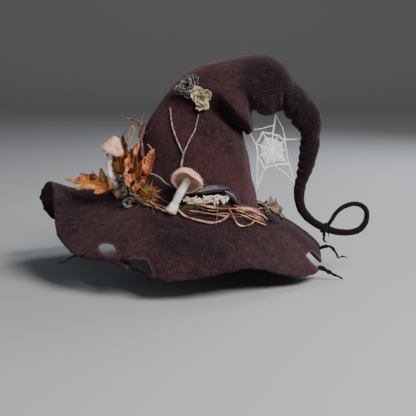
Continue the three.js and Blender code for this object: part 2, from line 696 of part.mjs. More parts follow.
// ---------------------------------------------------------------- the thread web
// A polygon with each side moved inwards by a distance; its corners run anticlockwise.
function inset(corners, distance) {
  const count = corners.length;
  const normal = (i) => {
    const run = corners[(i + 1) % count].clone().sub(corners[i % count]).normalize();
    return new THREE.Vector2(-run.y, run.x);
  };
  return corners.map((corner, i) => {
    const [before, after] = [normal(i + count - 1), normal(i)];
    return before.clone().add(after).multiplyScalar(distance / (1 + before.dot(after))).add(corner);
  });
}

// A flat plate standing on the middle plane of the hat.
function plate(corners, thick) {
  const block = new THREE.ExtrudeGeometry(new THREE.Shape(corners), { depth: thick, bevelEnabled: false });
  return solidOf(block.translate(0, 0, -thick / 2).rotateX(Math.PI / 2));
}

// Threads from a hub out to frame knots, rings between them, and guys to the crown, the fold and the tail.
function web() {
  const flat = ([x, z]) => new THREE.Vector2(x * LENGTH_SCALE, z * HEIGHT_SCALE);
  const hub = flat([113, 74]);
  const knots = [
    [131, 88], [113, 97], [99, 99], [90, 82], [92, 64], [102, 47], [116, 52], [137, 53], [133, 73],
  ].map(flat);
  const cells = [];
  knots.forEach((knot, i) => {
    const next = knots[(i + 1) % knots.length];
    for (let ring = 0; ring <= WEB_TURNS; ring++) {
      const near = ring / (WEB_TURNS + 1);
      const far = (ring + 1) / (WEB_TURNS + 1);
      const cell = [hub.clone().lerp(knot, far), hub.clone().lerp(next, far)];
      if (ring) cell.push(hub.clone().lerp(next, near), hub.clone().lerp(knot, near));
      else cell.push(hub.clone());
      cells.push(plate(inset(cell, THREAD_RADIUS), 6 * THREAD_RADIUS));
    }
  });
  const net = plate(inset(knots, -THREAD_RADIUS), 2 * THREAD_RADIUS).subtract(joined(...cells));
  const guys = [
    [[113, 97], [115, 108], [117, 126]],
    [[115, 108], [97, 103], [79, 101]],
    [[131, 88], [127, 104], [117, 122]],
    [[131, 88], [142, 88], [154, 89]],
    [[137, 53], [141, 38], [145, 24]],
    [[116, 52], [130, 43], [145, 27]],
    [[102, 47], [96, 32], [89, 14]],
    [[92, 64], [92, 44], [91, 22]],
    [[90, 82], [85, 91], [79, 101]],
  ];
  const thread = (points) =>
    bar(points.map(flat).map(({ x, y }) => at(x, 0, y)), 0.9 * THREAD_RADIUS, { sides: 4, steps: 4 });
  return joined(net, ...guys.map(thread));
}

// ---------------------------------------------------------------- assembly
const hat = new THREE.Group();
const placed = [];

function boxesMeet(a, b, reach) {
  const [p, q] = [a.boundingBox(), b.boundingBox()];
  return [0, 1, 2].every((k) => p.min[k] < q.max[k] + reach && q.min[k] < p.max[k] + reach);
}

// Adds a piece, trimmed back by SEAT wherever it would press into one that is already there.
function add(name, solid, material) {
  let fitted = solid;
  for (const other of placed)
    if (boxesMeet(fitted, other, SEAT)) fitted = largest(fitted.subtract(grown(other, SEAT)));
  placed.push(fitted);
  const mesh = new THREE.Mesh(geometryOf(fitted), material);
  mesh.name = name;
  hat.add(mesh);
}

const addAll = (pieces, materials) =>
  Object.entries(pieces).forEach(([name, solid]) => add(name, solid, materials[name] ?? materials.rest));

add("crown_cone", cone, FELT_DARK);
Object.entries(STRANDS).forEach(([name, { solid }]) => add(name, solid, FELT_DARK));
add("brim", flap, FELT_DARK);
add("crown_fold", fold, FELT_DARK);
add("crown_bulge", crownSleeve(BULGE_RIB, TAIL_RIB, 24, 4), FELT_DARK);
add("tail", tail(), FELT_DARK);
add("tail_curl", tailCurl(), FELT_DARK);
add("tail_knot", tailKnot(), FELT_DARK);
add("brim_strip", brimStrip(), FELT_DARK);
add("sweatband", sweatband(), RIBBON);
add("tail_wire", tailWire(), WIRE);
add("curl_wire", curlWire(), WIRE);

add("mushroom_big_stem", bigMushroom.stem, STEM);
add("mushroom_big_cap", bigMushroom.cap, CAP);
add("mushroom_slim_stem", slimMushroom.stem, STEM);
add("mushroom_slim_cap", slimMushroom.cap, CAP);
add("vine_ring", vineRing(), VINE);
addAll(vines(), { vine_gold: STRAW, vine_upper: STRAW, stitch: COTTON, rest: VINE });
addAll(twigs(), { root_red: TWIG_RED, rest: TWIG });
addAll(lumps(), {
  berry_red: BERRY,
  seed_husk: HUSK,
  sprig_needles: NEEDLE,
  moss_pad: MOSS,
  rosette_green: ROSETTE,
  rosette_grey: LEAF_GREY,
  rest: LICHEN,
});
addAll(leaves(), {
  leaf_ochre: LEAF_OCHRE,
  leaf_rust: LEAF_RUST,
  leaf_rust_side: LEAF_RUST,
  leaf_orange: LEAF_ORANGE,
  leaf_yellow: LEAF_OCHRE,
  leaf_pink: CAP,
  feather_long: FEATHER,
  feather_short: FEATHER,
  rest: LEAF_GREY,
});
add("spider_web", web(), COTTON);

export default hat;
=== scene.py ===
"""A wet-felted witch hat with a woodland trim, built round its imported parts."""

import json
import math
from functools import partial

import bmesh
import bpy
import numpy as np
from bpy.props import FloatProperty, FloatVectorProperty, IntProperty, PointerProperty
from bpy.types import Operator, Panel, PropertyGroup
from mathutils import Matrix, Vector
from mathutils.bvhtree import BVHTree
from mathutils.geometry import delaunay_2d_cdt

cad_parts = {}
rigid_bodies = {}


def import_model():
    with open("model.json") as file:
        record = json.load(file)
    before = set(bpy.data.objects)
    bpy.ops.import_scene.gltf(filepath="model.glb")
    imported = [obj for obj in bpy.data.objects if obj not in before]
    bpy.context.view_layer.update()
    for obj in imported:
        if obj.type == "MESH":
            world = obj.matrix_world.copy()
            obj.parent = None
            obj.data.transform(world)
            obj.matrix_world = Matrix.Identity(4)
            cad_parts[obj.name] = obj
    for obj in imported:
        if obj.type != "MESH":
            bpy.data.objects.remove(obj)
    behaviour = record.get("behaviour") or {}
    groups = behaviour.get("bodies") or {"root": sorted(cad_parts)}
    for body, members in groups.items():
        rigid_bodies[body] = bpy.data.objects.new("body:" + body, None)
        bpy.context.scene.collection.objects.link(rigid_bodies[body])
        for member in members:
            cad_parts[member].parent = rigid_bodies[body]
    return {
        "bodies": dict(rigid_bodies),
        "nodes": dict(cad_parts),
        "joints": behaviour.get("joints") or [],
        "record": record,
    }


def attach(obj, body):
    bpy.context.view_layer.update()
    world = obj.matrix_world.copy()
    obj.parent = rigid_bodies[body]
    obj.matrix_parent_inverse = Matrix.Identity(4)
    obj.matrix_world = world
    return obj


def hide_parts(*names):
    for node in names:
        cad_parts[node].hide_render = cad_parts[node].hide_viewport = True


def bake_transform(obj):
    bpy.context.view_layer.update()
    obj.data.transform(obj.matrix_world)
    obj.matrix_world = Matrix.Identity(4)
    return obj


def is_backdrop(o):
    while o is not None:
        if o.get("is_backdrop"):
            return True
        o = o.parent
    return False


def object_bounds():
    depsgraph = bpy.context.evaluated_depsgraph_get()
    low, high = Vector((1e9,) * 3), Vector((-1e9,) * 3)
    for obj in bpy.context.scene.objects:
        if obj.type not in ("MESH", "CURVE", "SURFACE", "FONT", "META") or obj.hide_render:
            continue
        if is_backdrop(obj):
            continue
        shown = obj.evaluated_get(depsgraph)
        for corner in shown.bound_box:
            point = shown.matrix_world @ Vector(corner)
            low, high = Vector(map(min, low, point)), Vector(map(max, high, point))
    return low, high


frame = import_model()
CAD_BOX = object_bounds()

bl_info = {
    "name": "Felted witch hat",
    "version": (1, 0, 0),
    "blender": (4, 5, 0),
    "location": "3D View > Sidebar > Hat",
    "description": "Builds a slumped felt hat with a torn brim and a woodland trim",
    "category": "Add Mesh",
}

MM = 0.001  # shapes are worked out in millimetres and made in metres
TURN = 2 * math.pi


# ------------------------------------------------------------------ colours
def linear(code):
    """The linear colour of an sRGB hex code."""
    levels = [int(code[i : i + 2], 16) / 255 for i in (1, 3, 5)]
    return tuple(v / 12.92 if v <= 0.04045 else ((v + 0.055) / 1.055) ** 2.4 for v in levels)


def opaque(colour):
    return (*colour[:3], 1.0)


# ------------------------------------------------------------------ settings
def colour_setting(name, description, code):
    return FloatVectorProperty(
        name=name, description=description, default=linear(code), subtype="COLOR", min=0, max=1
    )


def length_setting(name, description, millimetres):
    return FloatProperty(
        name=name, description=description, default=millimetres * MM, min=0, unit="LENGTH"
    )


class FeltSettings(PropertyGroup):
    ground: colour_setting("Ground", "Main colour of the wool", "#1c1317")
    warm: colour_setting("Warm wool", "Redder wool carded into the ground", "#362024")
    dark: colour_setting("Dark wool", "Nearly black wool carded into the ground", "#0c090b")
    fleck: colour_setting("Flecks", "Pale stray fibres", "#634a50")
    lip: length_setting("Fold lip", "How far the slumped fold hangs out past the cone", 9)
    tuck: length_setting("Fold tuck", "How deep the crease under the fold goes in", 11)
    fibre_length: length_setting("Fibre length", "Length of the loose surface fibres", 5)
    fibre_radius: length_setting("Fibre radius", "Drawn thicker than wool, so that it shows", 0.085)
    fibres: IntProperty(
        name="Fibres", description="Loose fibres over the whole hat", default=9000, min=0
    )


class TrimSettings(PropertyGroup):
    vine: colour_setting("Vine", "Peeled vine", "#7b4a3a")
    vine_pale: colour_setting("Vine highlight", "Vine where its skin is thin", "#c59a86")
    cane: colour_setting("Straw vine", "Paler dry vine", "#95644a")
    twig: colour_setting("Twig", "Weathered twig bark", "#7f716c")
    root: colour_setting("Root", "Dark red root", "#5a2626")
    husk: colour_setting("Seed head", "Dry golden spines", "#8a5a30")
    needle: colour_setting("Needle", "Dark conifer needles", "#2d3029")
    berry: colour_setting("Berry", "Dried berry skin", "#7d0f1a")
    moss: colour_setting("Moss", "Dried moss", "#585545")
    lichen: colour_setting("Lichen", "Bleached branching lichen", "#eee4d2")
    rosette: colour_setting("Green rosette", "Leafy lichen", "#9a9070")
    rosette_dark: colour_setting("Grey rosette", "Darker leafy lichen", "#4c4840")
    feather: colour_setting("Feather", "Dark iridescent barbs", "#211b27")
    vine_radius: length_setting("Vine radius", "Half the thickness of a run of vine", 1.7)


class MushroomSettings(PropertyGroup):
    cap: colour_setting("Cap", "Pink-beige wool of the caps", "#efc0ac")
    stem: colour_setting("Stem", "Creamy wool of the stems", "#fff4e8")
    gills: IntProperty(name="Gills", description="Gills under each cap", default=34, min=8)


class LeafSettings(PropertyGroup):
    ochre: colour_setting("Ochre leaf", "Upright lobed leaf", "#7c4a18")
    rust: colour_setting("Rust leaf", "Crumpled leaf on the crown", "#b55c2c")
    orange: colour_setting("Orange leaf", "Flat leaf on the brim", "#b8702f")
    yellow: colour_setting("Yellow leaf", "Small pointed leaves by the berry", "#8a6526")
    pink: colour_setting("Pink leaf", "Small leaf under the slim mushroom", "#8d5f4c")
    grey: colour_setting("Grey leaf", "Leaves at the end of the wreath", "#4a4039")
    frosted: colour_setting("Frosted sprig", "Dusty leafy lichen", "#5f625b")
    thickness: length_setting("Blade", "Thickness of a dried blade", 0.5)


class WebSettings(PropertyGroup):
    cotton: colour_setting("Cotton", "Crochet cotton", "#fbfaf8")
    radius: length_setting("Thread radius", "Half the thickness of the thread", 0.68)
    turns: IntProperty(name="Turns", description="Turns of the spiral", default=7, min=2)


class StageSettings(PropertyGroup):
    floor: colour_setting("Floor", "Plain pale floor", "#9a9ea1")
    key: FloatProperty(name="Key light", description="Power in watts", default=62, min=0)
    fill: FloatProperty(name="Fill light", description="Power in watts", default=6, min=0)
    rim: FloatProperty(name="Rim light", description="Power in watts", default=22, min=0)


# ------------------------------------------------------------------ lines and noise
def unit(vectors):
    vectors = np.asarray(vectors, float)
    return vectors / np.maximum(np.linalg.norm(vectors, axis=-1, keepdims=True), 1e-12)


def smooth(value, low=0.0, high=1.0):
    share = np.clip((np.asarray(value, float) - low) / (high - low), 0, 1)
    return share * share * (3 - 2 * share)


def spline(points, where, closed=False):
    """Places on a centripetal Catmull-Rom line; where runs from 0 to 1 over its points."""
    points = np.asarray(points, float)
    count = len(points)
    place = np.atleast_1d(np.asarray(where, float)) * (count if closed else count - 1)
    first = np.floor(place).astype(int)
    if not closed:
        first = np.clip(first, 0, count - 2)
    share = (place - first)[:, None]

    def corner(index):
        if closed:
            return points[index % count]
        inside = points[np.clip(index, 0, count - 1)]
        inside = np.where((index < 0)[:, None], 2 * points[0] - points[1], inside)
        return np.where((index >= count)[:, None], 2 * points[-1] - points[-2], inside)

    p0, p1, p2, p3 = (corner(first + step) for step in (-1, 0, 1, 2))
    d0, d1, d2 = (
        np.maximum(np.linalg.norm(b - a, axis=1, keepdims=True), 1e-9) ** 0.5
        for a, b in ((p0, p1), (p1, p2), (p2, p3))
    )
    leave = ((p1 - p0) / d0 - (p2 - p0) / (d0 + d1) + (p2 - p1) / d1) * d1
    arrive = ((p2 - p1) / d1 - (p3 - p1) / (d1 + d2) + (p3 - p2) / d2) * d1
    square = 3 * (p2 - p1) - 2 * leave - arrive
    cube = 2 * (p1 - p2) + leave + arrive
    return p1 + share * leave + share**2 * square + share**3 * cube


def even(points, count):
    """count places evenly spaced along the smooth line through points."""
    fine = spline(points, np.linspace(0, 1, 24 * len(points)))
    steps = np.linalg.norm(np.diff(fine, axis=0), axis=1)
    run = np.concatenate([[0], np.cumsum(steps)])
    wanted = np.linspace(0, run[-1], count)
    return np.stack([np.interp(wanted, run, fine[:, k]) for k in range(3)], axis=1)


def turns_of(count):
    """count angles evenly round one turn."""
    return np.linspace(0, TURN, count, endpoint=False)


def line_length(points):
    return float(np.linalg.norm(np.diff(np.asarray(points, float), axis=0), axis=1).sum())


LATTICE = np.random.default_rng(7).uniform(-1, 1, 4096)


def drift(points, size, seed=0):
    """Smooth values from -1 to 1 that wander over about one size, the same on every run."""
    place = np.asarray(points, float) / size + 31.7 * (seed + 1)
    base = np.floor(place).astype(np.int64)
    share = place - base
    share = share * share * (3 - 2 * share)
    total = np.zeros(place.shape[:-1])
    for corner in np.ndindex(2, 2, 2):
        cell = base + corner
        index = cell[..., 0] * 73856093 ^ cell[..., 1] * 19349663 ^ cell[..., 2] * 83492791
        weight = np.prod(np.where(corner, share, 1 - share), axis=-1)
        total += LATTICE[index & 4095] * weight
    return total


def swaying(line, size, seed):
    """A shift in three directions at each place of a line."""
    return np.stack([drift(line, size, seed + k) for k in range(3)], axis=1)


def frames(line):
    """The way ahead, a side and the way across at each place of a line, without twist."""
    ahead = unit(np.gradient(line, axis=0))
    side = np.cross(ahead[0], (0.13, 0.31, 0.94))
    sides = []
    for direction in ahead:
        side = unit(side - direction * (side @ direction))
        sides.append(side)
    sides = np.array(sides)
    return ahead, sides, np.cross(ahead, sides)


def tube(line, radius, around=8, flat=1.0, twist=0.0):
    """Rings round a line; flat squeezes them one way and twist turns them, in turns."""
    line = np.asarray(line, float)
    _, side, across = frames(line)
    radius = np.broadcast_to(radius, len(line))[:, None, None]
    turn = turns_of(around)[None, :]
    turned = np.linspace(0, twist * TURN, len(line))[:, None]
    u = np.cos(turn) * np.cos(turned) - flat * np.sin(turn) * np.sin(turned)
    v = np.cos(turn) * np.sin(turned) + flat * np.sin(turn) * np.cos(turned)
    return line[:, None] + radius * (u[..., None] * side[:, None] + v[..., None] * across[:, None])


# ------------------------------------------------------------------ gathering meshes
def joining_faces(first, second, start, ahead):
    """Faces between a ring of first points at index start and one of second points at ahead."""
    if first == second:
        j = np.arange(first)
        k = (j + 1) % first
        return np.stack([start + j, start + k, ahead + k, ahead + j], axis=1).tolist()
    fine, coarse, fine_at, coarse_at = (
        (first, second, start, ahead) if first > second else (second, first, ahead, start)
    )
    j = np.arange(coarse)
    a, b = coarse_at + j, coarse_at + (j + 1) % coarse
    p, q, r = (fine_at + (2 * j + step) % fine for step in (0, 1, 2))
    faces = np.concatenate([np.stack(t, axis=1) for t in ((p, q, a), (q, b, a), (q, r, b))])
    return (faces if first > second else faces[:, ::-1]).tolist()


class Clay:
    """Points, faces and finish marks gathered from many small closed forms, in millimetres.

    A mark is three numbers a point: wear or vein, or painted shade on the mushrooms; a darkening, mostly
    painted shade; and a value of its own for each form.
    """

    def __init__(self):
        self.points, self.faces, self.marks, self.count = [], [], [], 0

    def add(self, points, faces, mark=(0, 0, 0)):
        points = np.asarray(points, float).reshape(-1, 3)
        self.points.append(points)
        self.marks.append(np.broadcast_to(np.asarray(mark, float), points.shape))
        self.faces += [[index + self.count for index in face] for face in faces]
        self.count += len(points)

    def loft(self, rings, mark=(0, 0, 0), loop=False):
        """A skin over rings of points; its ends are closed, or joined when loop is true."""
        mark = np.asarray(mark, float)
        if mark.ndim > 1:
            mark = mark.reshape(-1, 3)
        sizes = [len(ring) for ring in rings]
        starts = np.concatenate([[0], np.cumsum(sizes)]).astype(int)
        faces = []
        for i in range(len(rings) - (0 if loop else 1)):
            j = (i + 1) % len(rings)
            faces += joining_faces(sizes[i], sizes[j], starts[i], starts[j])
        points = np.concatenate(rings)
        if not loop:
            low, high = len(points), len(points) + 1
            last = starts[-2]
            points = np.concatenate([points, [rings[0].mean(0)], [rings[-1].mean(0)]])
            faces += [[low, (j + 1) % sizes[0], j] for j in range(sizes[0])]
            faces += [[high, last + j, last + (j + 1) % sizes[-1]] for j in range(sizes[-1])]
            if mark.ndim > 1:
                mark = np.concatenate([mark, mark[:1], mark[-1:]])
        self.add(points, faces, mark)

    def rod(self, line, radius, around=6, mark=(0, 0, 0), **shape):
        self.loft(tube(line, radius, around, **shape), mark)

    def sheet(self, flat, triangles, place, thickness, mark=(0, 0, 0)):
        """A thin blade: flat points and their triangles put in space by place, with two skins."""
        top = place(np.asarray(flat, float))
        triangles = np.asarray(triangles, int)
        a, b, c = (top[triangles[:, k]] for k in range(3))
        normals = np.zeros_like(top)
        for k in range(3):
            np.add.at(normals, triangles[:, k], np.cross(b - a, c - a))
        normals = unit(normals)
        under = top - normals * thickness
        count = len(top)
        edges = np.concatenate([triangles[:, [0, 1]], triangles[:, [1, 2]], triangles[:, [2, 0]]])
        known = {tuple(edge) for edge in edges.tolist()}
        rim = [[b, a, a + count, b + count] for a, b in known if (b, a) not in known]
        faces = triangles.tolist() + (triangles[:, ::-1] + count).tolist() + rim
        mark = np.broadcast_to(np.asarray(mark, float), top.shape)
        self.add(np.concatenate([top, under]), faces, np.concatenate([mark, mark]))

    def piece(self, name, finish, slot, body="hat", stands_for=()):
        """The gathered mesh as one piece that rides on a body."""
        mesh = bpy.data.meshes.new(name)
        points = np.concatenate(self.points) * MM
        mesh.from_pydata(points.tolist(), [], self.faces)
        mesh.shade_smooth()
        marks = mesh.attributes.new("mark", "FLOAT_VECTOR", "POINT")
        marks.data.foreach_set("vector", np.concatenate(self.marks).astype(np.float32).ravel())
        mesh.materials.append(finish)
        made = bpy.data.objects.new(name, mesh)
        bpy.context.scene.collection.objects.link(made)
        if body:
            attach(made, body)
        if stands_for:
            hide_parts(*stands_for)
        return made


def vertex_places(mesh):
    """A mesh's points, in millimetres."""
    points = np.zeros(len(mesh.vertices) * 3)
    mesh.vertices.foreach_get("co", points)
    return points.reshape(-1, 3) / MM


def filled(outline, spacing, holes=()):
    """Points and triangles that fill a flat outline, less any holes given as (x, y, radius)."""
    outline = np.asarray(outline, float)
    low, high = outline.min(0), outline.max(0)
    xs = np.arange(low[0], high[0], spacing)
    ys = np.arange(low[1], high[1], spacing * 0.87)
    grid = np.array([(x + (row % 2) * spacing / 2, y) for row, y in enumerate(ys) for x in xs])
    near = np.linalg.norm(grid[:, None] - outline[None], axis=2).min(1)
    grid = grid[near > 0.6 * spacing]
    points = [Vector(p) for p in np.concatenate([outline, grid])]
    made = delaunay_2d_cdt(points, [], [list(range(len(outline)))], 1, 1e-5)
    flat = np.array([p[:] for p in made[0]])
    triangles = np.array([list(face) for face in made[2]])
    a, b, c = (flat[triangles[:, k]] for k in range(3))
    turned = np.cross(b - a, c - a) < 0
    triangles[turned] = triangles[turned][:, ::-1]
    middle = (a + b + c) / 3
    for x, y, radius in holes:
        keep = np.hypot(middle[:, 0] - x, middle[:, 1] - y) > radius
        triangles, middle = triangles[keep], middle[keep]
    used = np.unique(triangles)
    order = np.full(len(flat), -1)
    order[used] = np.arange(len(used))
    return flat[used], order[triangles]


def spacing_along(outline, step):
    """The closed outline with a point every step."""
    outline = np.asarray(outline, float)
    made = []
    for a, b in zip(outline, np.roll(outline, -1, axis=0)):
        count = max(1, round(float(np.linalg.norm(b - a)) / step))
        made += [a + (b - a) * i / count for i in range(count)]
    return np.array(made)


def basis(start, end, facing):
    """The ways x, y and z of a frame whose y runs from start to end and whose z faces facing."""
    y = unit(np.subtract(end, start))
    z = unit(np.asarray(facing, float) - y * (y @ np.asarray(facing, float)))
    return np.stack([np.cross(y, z), y, z])


# ------------------------------------------------------------------ finishes
def join(tree, node, inputs):
    """Links a node's inputs from nodes or sockets, or sets them to values."""
    for name, value in inputs.items():
        if isinstance(value, bpy.types.Node):
            value = value.outputs[0]
        if isinstance(value, bpy.types.NodeSocket):
            tree.links.new(value, node.inputs[name])
        else:
            node.inputs[name].default_value = value


def put(tree, kind, inputs=None, stops=(), **settings):
    """A shader node with its settings and links; stops are a ramp's positions and colours."""
    made = tree.nodes.new("ShaderNode" + kind)
    for name, value in settings.items():
        setattr(made, name, value)
    join(tree, made, inputs or {})
    if stops:
        elements = made.color_ramp.elements
        while len(elements) < len(stops):
            elements.new(0.5)
        for element, (position, colour) in zip(elements, stops):
            element.position = position
            element.color = opaque(colour)
    return made


def blank(name, inputs):
    """A new material; returns it, its shader, and what adds and joins nodes in its tree."""
    material = bpy.data.materials.new(name)
    material.use_nodes = True
    tree = material.node_tree
    tree.nodes.clear()
    shader = put(tree, "BsdfPrincipled", inputs)
    put(tree, "OutputMaterial", {"Surface": shader})
    return material, shader, partial(put, tree), partial(join, tree)


def place_and_marks(add):
    """The place on the piece, and the three marks of its points."""
    mark = add("Attribute", attribute_name="mark").outputs["Vector"]
    return add("TexCoord").outputs["Object"], add("SeparateXYZ", {0: mark}).outputs


def shades(colour, dark, light):
    """A dark, a middle and a light tone of one colour."""
    colour = np.asarray(colour[:3], float)
    return [tuple(np.clip(colour * k, 0, 1)) for k in (dark, 1, light)]


def felt_finish(name, settings):
    """Wet-felted merino wool: matt, softly mottled where colours were carded together, with
    short pale fibres lying every way and a faint halo at grazing angles."""
    material, shader, add, join_up = blank(
        name,
        {
            "Roughness": 0.96,
            "IOR": 1.45,
            "Specular IOR Level": 0.12,
            "Sheen Weight": 0.22,
            "Sheen Roughness": 0.55,
            "Sheen Tint": opaque(linear("#b8949a")),
        },
    )
    place, marks = place_and_marks(add)
    # Carded patches 60 mm across, mottling of 7 mm, and a nap of 1.6 mm.
    patch, mottle, nap = (
        add("TexNoise", {"Vector": place, "Scale": 1 / size, "Detail": detail, "Roughness": rough})
        for size, detail, rough in ((0.06, 2.0, 0.5), (0.007, 4.0, 0.65), (0.0016, 3.0, 0.7))
    )
    # Fibres 12 mm long and 1.5 mm apart, coarser than wool so that they show, in two directions.
    strands = []
    for lean, stretch in ((0.6, (90, 700, 420)), (-0.9, (640, 80, 500))):
        bent = add("Mapping", {0: place, "Rotation": (lean, 0.4, lean), "Scale": stretch})
        wave = add("TexNoise", {"Vector": bent, "Scale": 1.0, "Distortion": 1.2})
        strands.append(add("MapRange", {0: wave, 1: 0.62, 2: 0.74, 3: 0.0, 4: 1.0}))
    strand = add("Math", {0: strands[0], 1: strands[1]}, operation="MAXIMUM")
    shift = add("Math", {0: marks[2], 1: 0.22}, operation="MULTIPLY")
    tone = add("Math", {0: patch, 1: mottle}, operation="ADD")
    tone = add("Math", {0: tone, 1: 0.75, 2: shift}, operation="MULTIPLY_ADD")
    tone = add("MapRange", {0: tone, 1: 0.52, 2: 1.0, 3: 0.0, 4: 1.0})
    stops = [(0.0, settings.dark), (0.42, settings.ground), (1.0, settings.warm)]
    colour = add("ValToRGB", {0: tone}, stops)
    pale = add("Math", {0: strand, 1: 0.29}, operation="MULTIPLY")
    speckle = add("MapRange", {0: nap, 1: 0.3, 2: 0.72, 3: 0.42, 4: 1.75})
    grey = add("CombineColor", {0: speckle, 1: speckle, 2: speckle})
    worn = add("Math", {0: nap, 1: 0.75}, operation="MULTIPLY")
    worn = add("Math", {0: marks[0], 1: worn}, operation="MULTIPLY")
    for share, second, blend in (
        (pale, opaque(settings.fleck), "MIX"),
        (1.0, grey, "MULTIPLY"),
        (worn, opaque(linear("#6f5256")), "MIX"),
        # The second mark paints shade: near black in the crease under the fold and a little inside the
        # crown.
        (marks[1], opaque(linear("#070405")), "MIX"),
    ):
        layer = {0: share, 6: colour, 7: second}
        colour = add("Mix", layer, data_type="RGBA", blend_type=blend).outputs[2]
    height = add("Math", {0: mottle, 1: 1.4, 2: nap}, operation="MULTIPLY_ADD")
    height = add("Math", {0: strand, 1: 0.25, 2: height}, operation="MULTIPLY_ADD")
    bump = add("Bump", {"Height": height, "Strength": 0.75, "Distance": 0.0009})
    join_up(shader, {"Base Color": colour, "Normal": bump})
    return material


def natural_finish(name, tones, grain, roughness, bump, vein=None, inputs=None):
    """A dried plant or spun thread: three tones wander over its grain, each form differs a little from the
    next, marked places go over to the vein colour, and places with the second mark are darkened, mostly as
    painted shade."""
    material, shader, add, join_up = blank(name, {"IOR": 1.5, **(inputs or {})})
    place, marks = place_and_marks(add)
    scale = 1 / (grain * MM)
    drawn = add("Mapping", {0: place, "Scale": (scale, scale, scale)})
    broad = add("TexNoise", {"Vector": drawn, "Scale": 0.3, "Detail": 3.0})
    fine = add("TexNoise", {"Vector": drawn, "Scale": 1.0, "Detail": 4.0, "Roughness": 0.7})
    shift = add("Math", {0: marks[2], 1: 0.16}, operation="MULTIPLY")
    tone = add("Math", {0: broad, 1: fine}, operation="ADD")
    tone = add("Math", {0: tone, 1: 0.5, 2: shift}, operation="MULTIPLY_ADD")
    tone = add("MapRange", {0: tone, 1: 0.36, 2: 0.72, 3: 0.0, 4: 1.0})
    colour = add("ValToRGB", {0: tone}, [(0.0, tones[0]), (0.5, tones[1]), (1.0, tones[2])])
    # Painted shade: the second mark darkens towards a fifth of the dark tone.
    layers = [(marks[1], tuple(0.22 * v for v in tones[0]))]
    if vein:
        layers.insert(0, (marks[0], vein))
    for share, second in layers:
        layer = {0: share, 6: colour, 7: opaque(second)}
        colour = add("Mix", layer, data_type="RGBA").outputs[2]
    ends = (roughness - 0.09, min(1.0, roughness + 0.09))
    rough = add("MapRange", {0: fine, 1: 0.3, 2: 0.7, 3: ends[0], 4: ends[1]})
    bumped = add("Bump", {"Height": fine, "Strength": 0.8, "Distance": bump * MM})
    join_up(shader, {"Base Color": colour, "Roughness": rough, "Normal": bumped})
    return material


def wool_finish(name, colour, shadow):
    """Needle-felted carded wool: tangled pale fibres over a matt body; its marks paint shade under the caps
    and at the stems' feet, and darker patches on the stems.
    """
    material, shader, add, join_up = blank(
        name,
        {
            "Roughness": 0.95,
            "IOR": 1.45,
            "Specular IOR Level": 0.15,
            "Sheen Weight": 0.3,
            "Sheen Roughness": 0.5,
            "Subsurface Weight": 0.12,
            "Subsurface Radius": (0.004, 0.0025, 0.002),
        },
    )
    place, marks = place_and_marks(add)
    broad = add("TexNoise", {"Vector": place, "Scale": 1 / 0.012, "Detail": 3.0})
    # Wool fibres 4 mm long and 0.6 mm apart, in two directions.
    tangles = []
    for lean, stretch in ((0.5, (260, 1700, 900)), (-0.8, (1500, 240, 1100))):
        bent = add("Mapping", {0: place, "Rotation": (lean, 0.3, lean), "Scale": stretch})
        tangles.append(add("TexNoise", {"Vector": bent, "Scale": 1.0, "Distortion": 1.0}))
    tangle = add("Math", {0: tangles[0], 1: tangles[1]}, operation="MAXIMUM")
    tone = add("Math", {0: tangle, 1: 0.8, 2: broad}, operation="MULTIPLY_ADD")
    tone = add("MapRange", {0: tone, 1: 0.7, 2: 1.15, 3: 0.0, 4: 1.0})
    light = tuple(min(1.0, 1.18 * v) for v in colour[:3])
    dark = tuple(k * v for k, v in zip((0.62, 0.48, 0.44), colour[:3]))
    colour = add("ValToRGB", {0: tone}, [(0.0, dark), (0.45, colour[:3]), (1.0, light)])
    # The first mark goes over to the shadow colour, the second to a darker one: painted shade, and on the
    # stems some darker patches too.
    for share, second in ((marks[0], shadow), (marks[1], tuple(0.3 * v for v in shadow))):
        layer = {0: share, 6: colour, 7: opaque(second)}
        colour = add("Mix", layer, data_type="RGBA").outputs[2]
    bump = add("Bump", {"Height": tangle, "Strength": 0.9, "Distance": 0.0012})
    join_up(shader, {"Base Color": colour, "Normal": bump})
    return material


def thread_finish(name, colour, dark=0.78):
    """Plied cotton: matt, with twisted plies a millimetre apart and a little fuzz."""
    fuzz = {"Sheen Weight": 0.15, "Specular IOR Level": 0.2}
    return natural_finish(name, shades(colour, dark, 1.06), 0.7, 0.85, 0.2, inputs=fuzz)


def fibre_finish(name, settings):
    """Single wool fibres: dark like the felt, with some pale stray ones."""
    tones = (settings.dark, settings.warm, tuple(1.5 * v for v in settings.warm))
    fuzz = {"Sheen Weight": 0.2, "Specular IOR Level": 0.2}
    return natural_finish(name, tones, 6.0, 0.8, 0.05, tuple(settings.fleck), fuzz)


def ribbon_finish(name):
    """Cotton grosgrain: cross ribs about 2 mm apart and a dull sheen; its colour follows the ribs' height,
    darker in the grooves and paler on the rib tops.
    """
    material, shader, add, join_up = blank(
        name, {"IOR": 1.5, "Roughness": 0.8, "Sheen Weight": 0.2, "Specular IOR Level": 0.3}
    )
    place = add("TexCoord").outputs["Object"]
    axes = add("SeparateXYZ", {0: place}).outputs
    turn = add("Math", {0: axes[1], 1: axes[0]}, operation="ARCTAN2")
    turn = add("Math", {0: turn, 1: 300.0}, operation="MULTIPLY")
    rib = add("Math", {0: turn}, operation="SINE")
    grain = add("TexNoise", {"Vector": place, "Scale": 700.0, "Detail": 3.0})
    height = add("Math", {0: rib, 1: 0.5, 2: grain}, operation="MULTIPLY_ADD")
    stops = [(0.0, linear("#140f12")), (0.6, linear("#2b2328")), (1.0, linear("#4a3d45"))]
    colour = add("ValToRGB", {0: height}, stops)
    bump = add("Bump", {"Height": height, "Strength": 0.8, "Distance": 0.0004})
    join_up(shader, {"Base Color": colour, "Normal": bump})
    return material


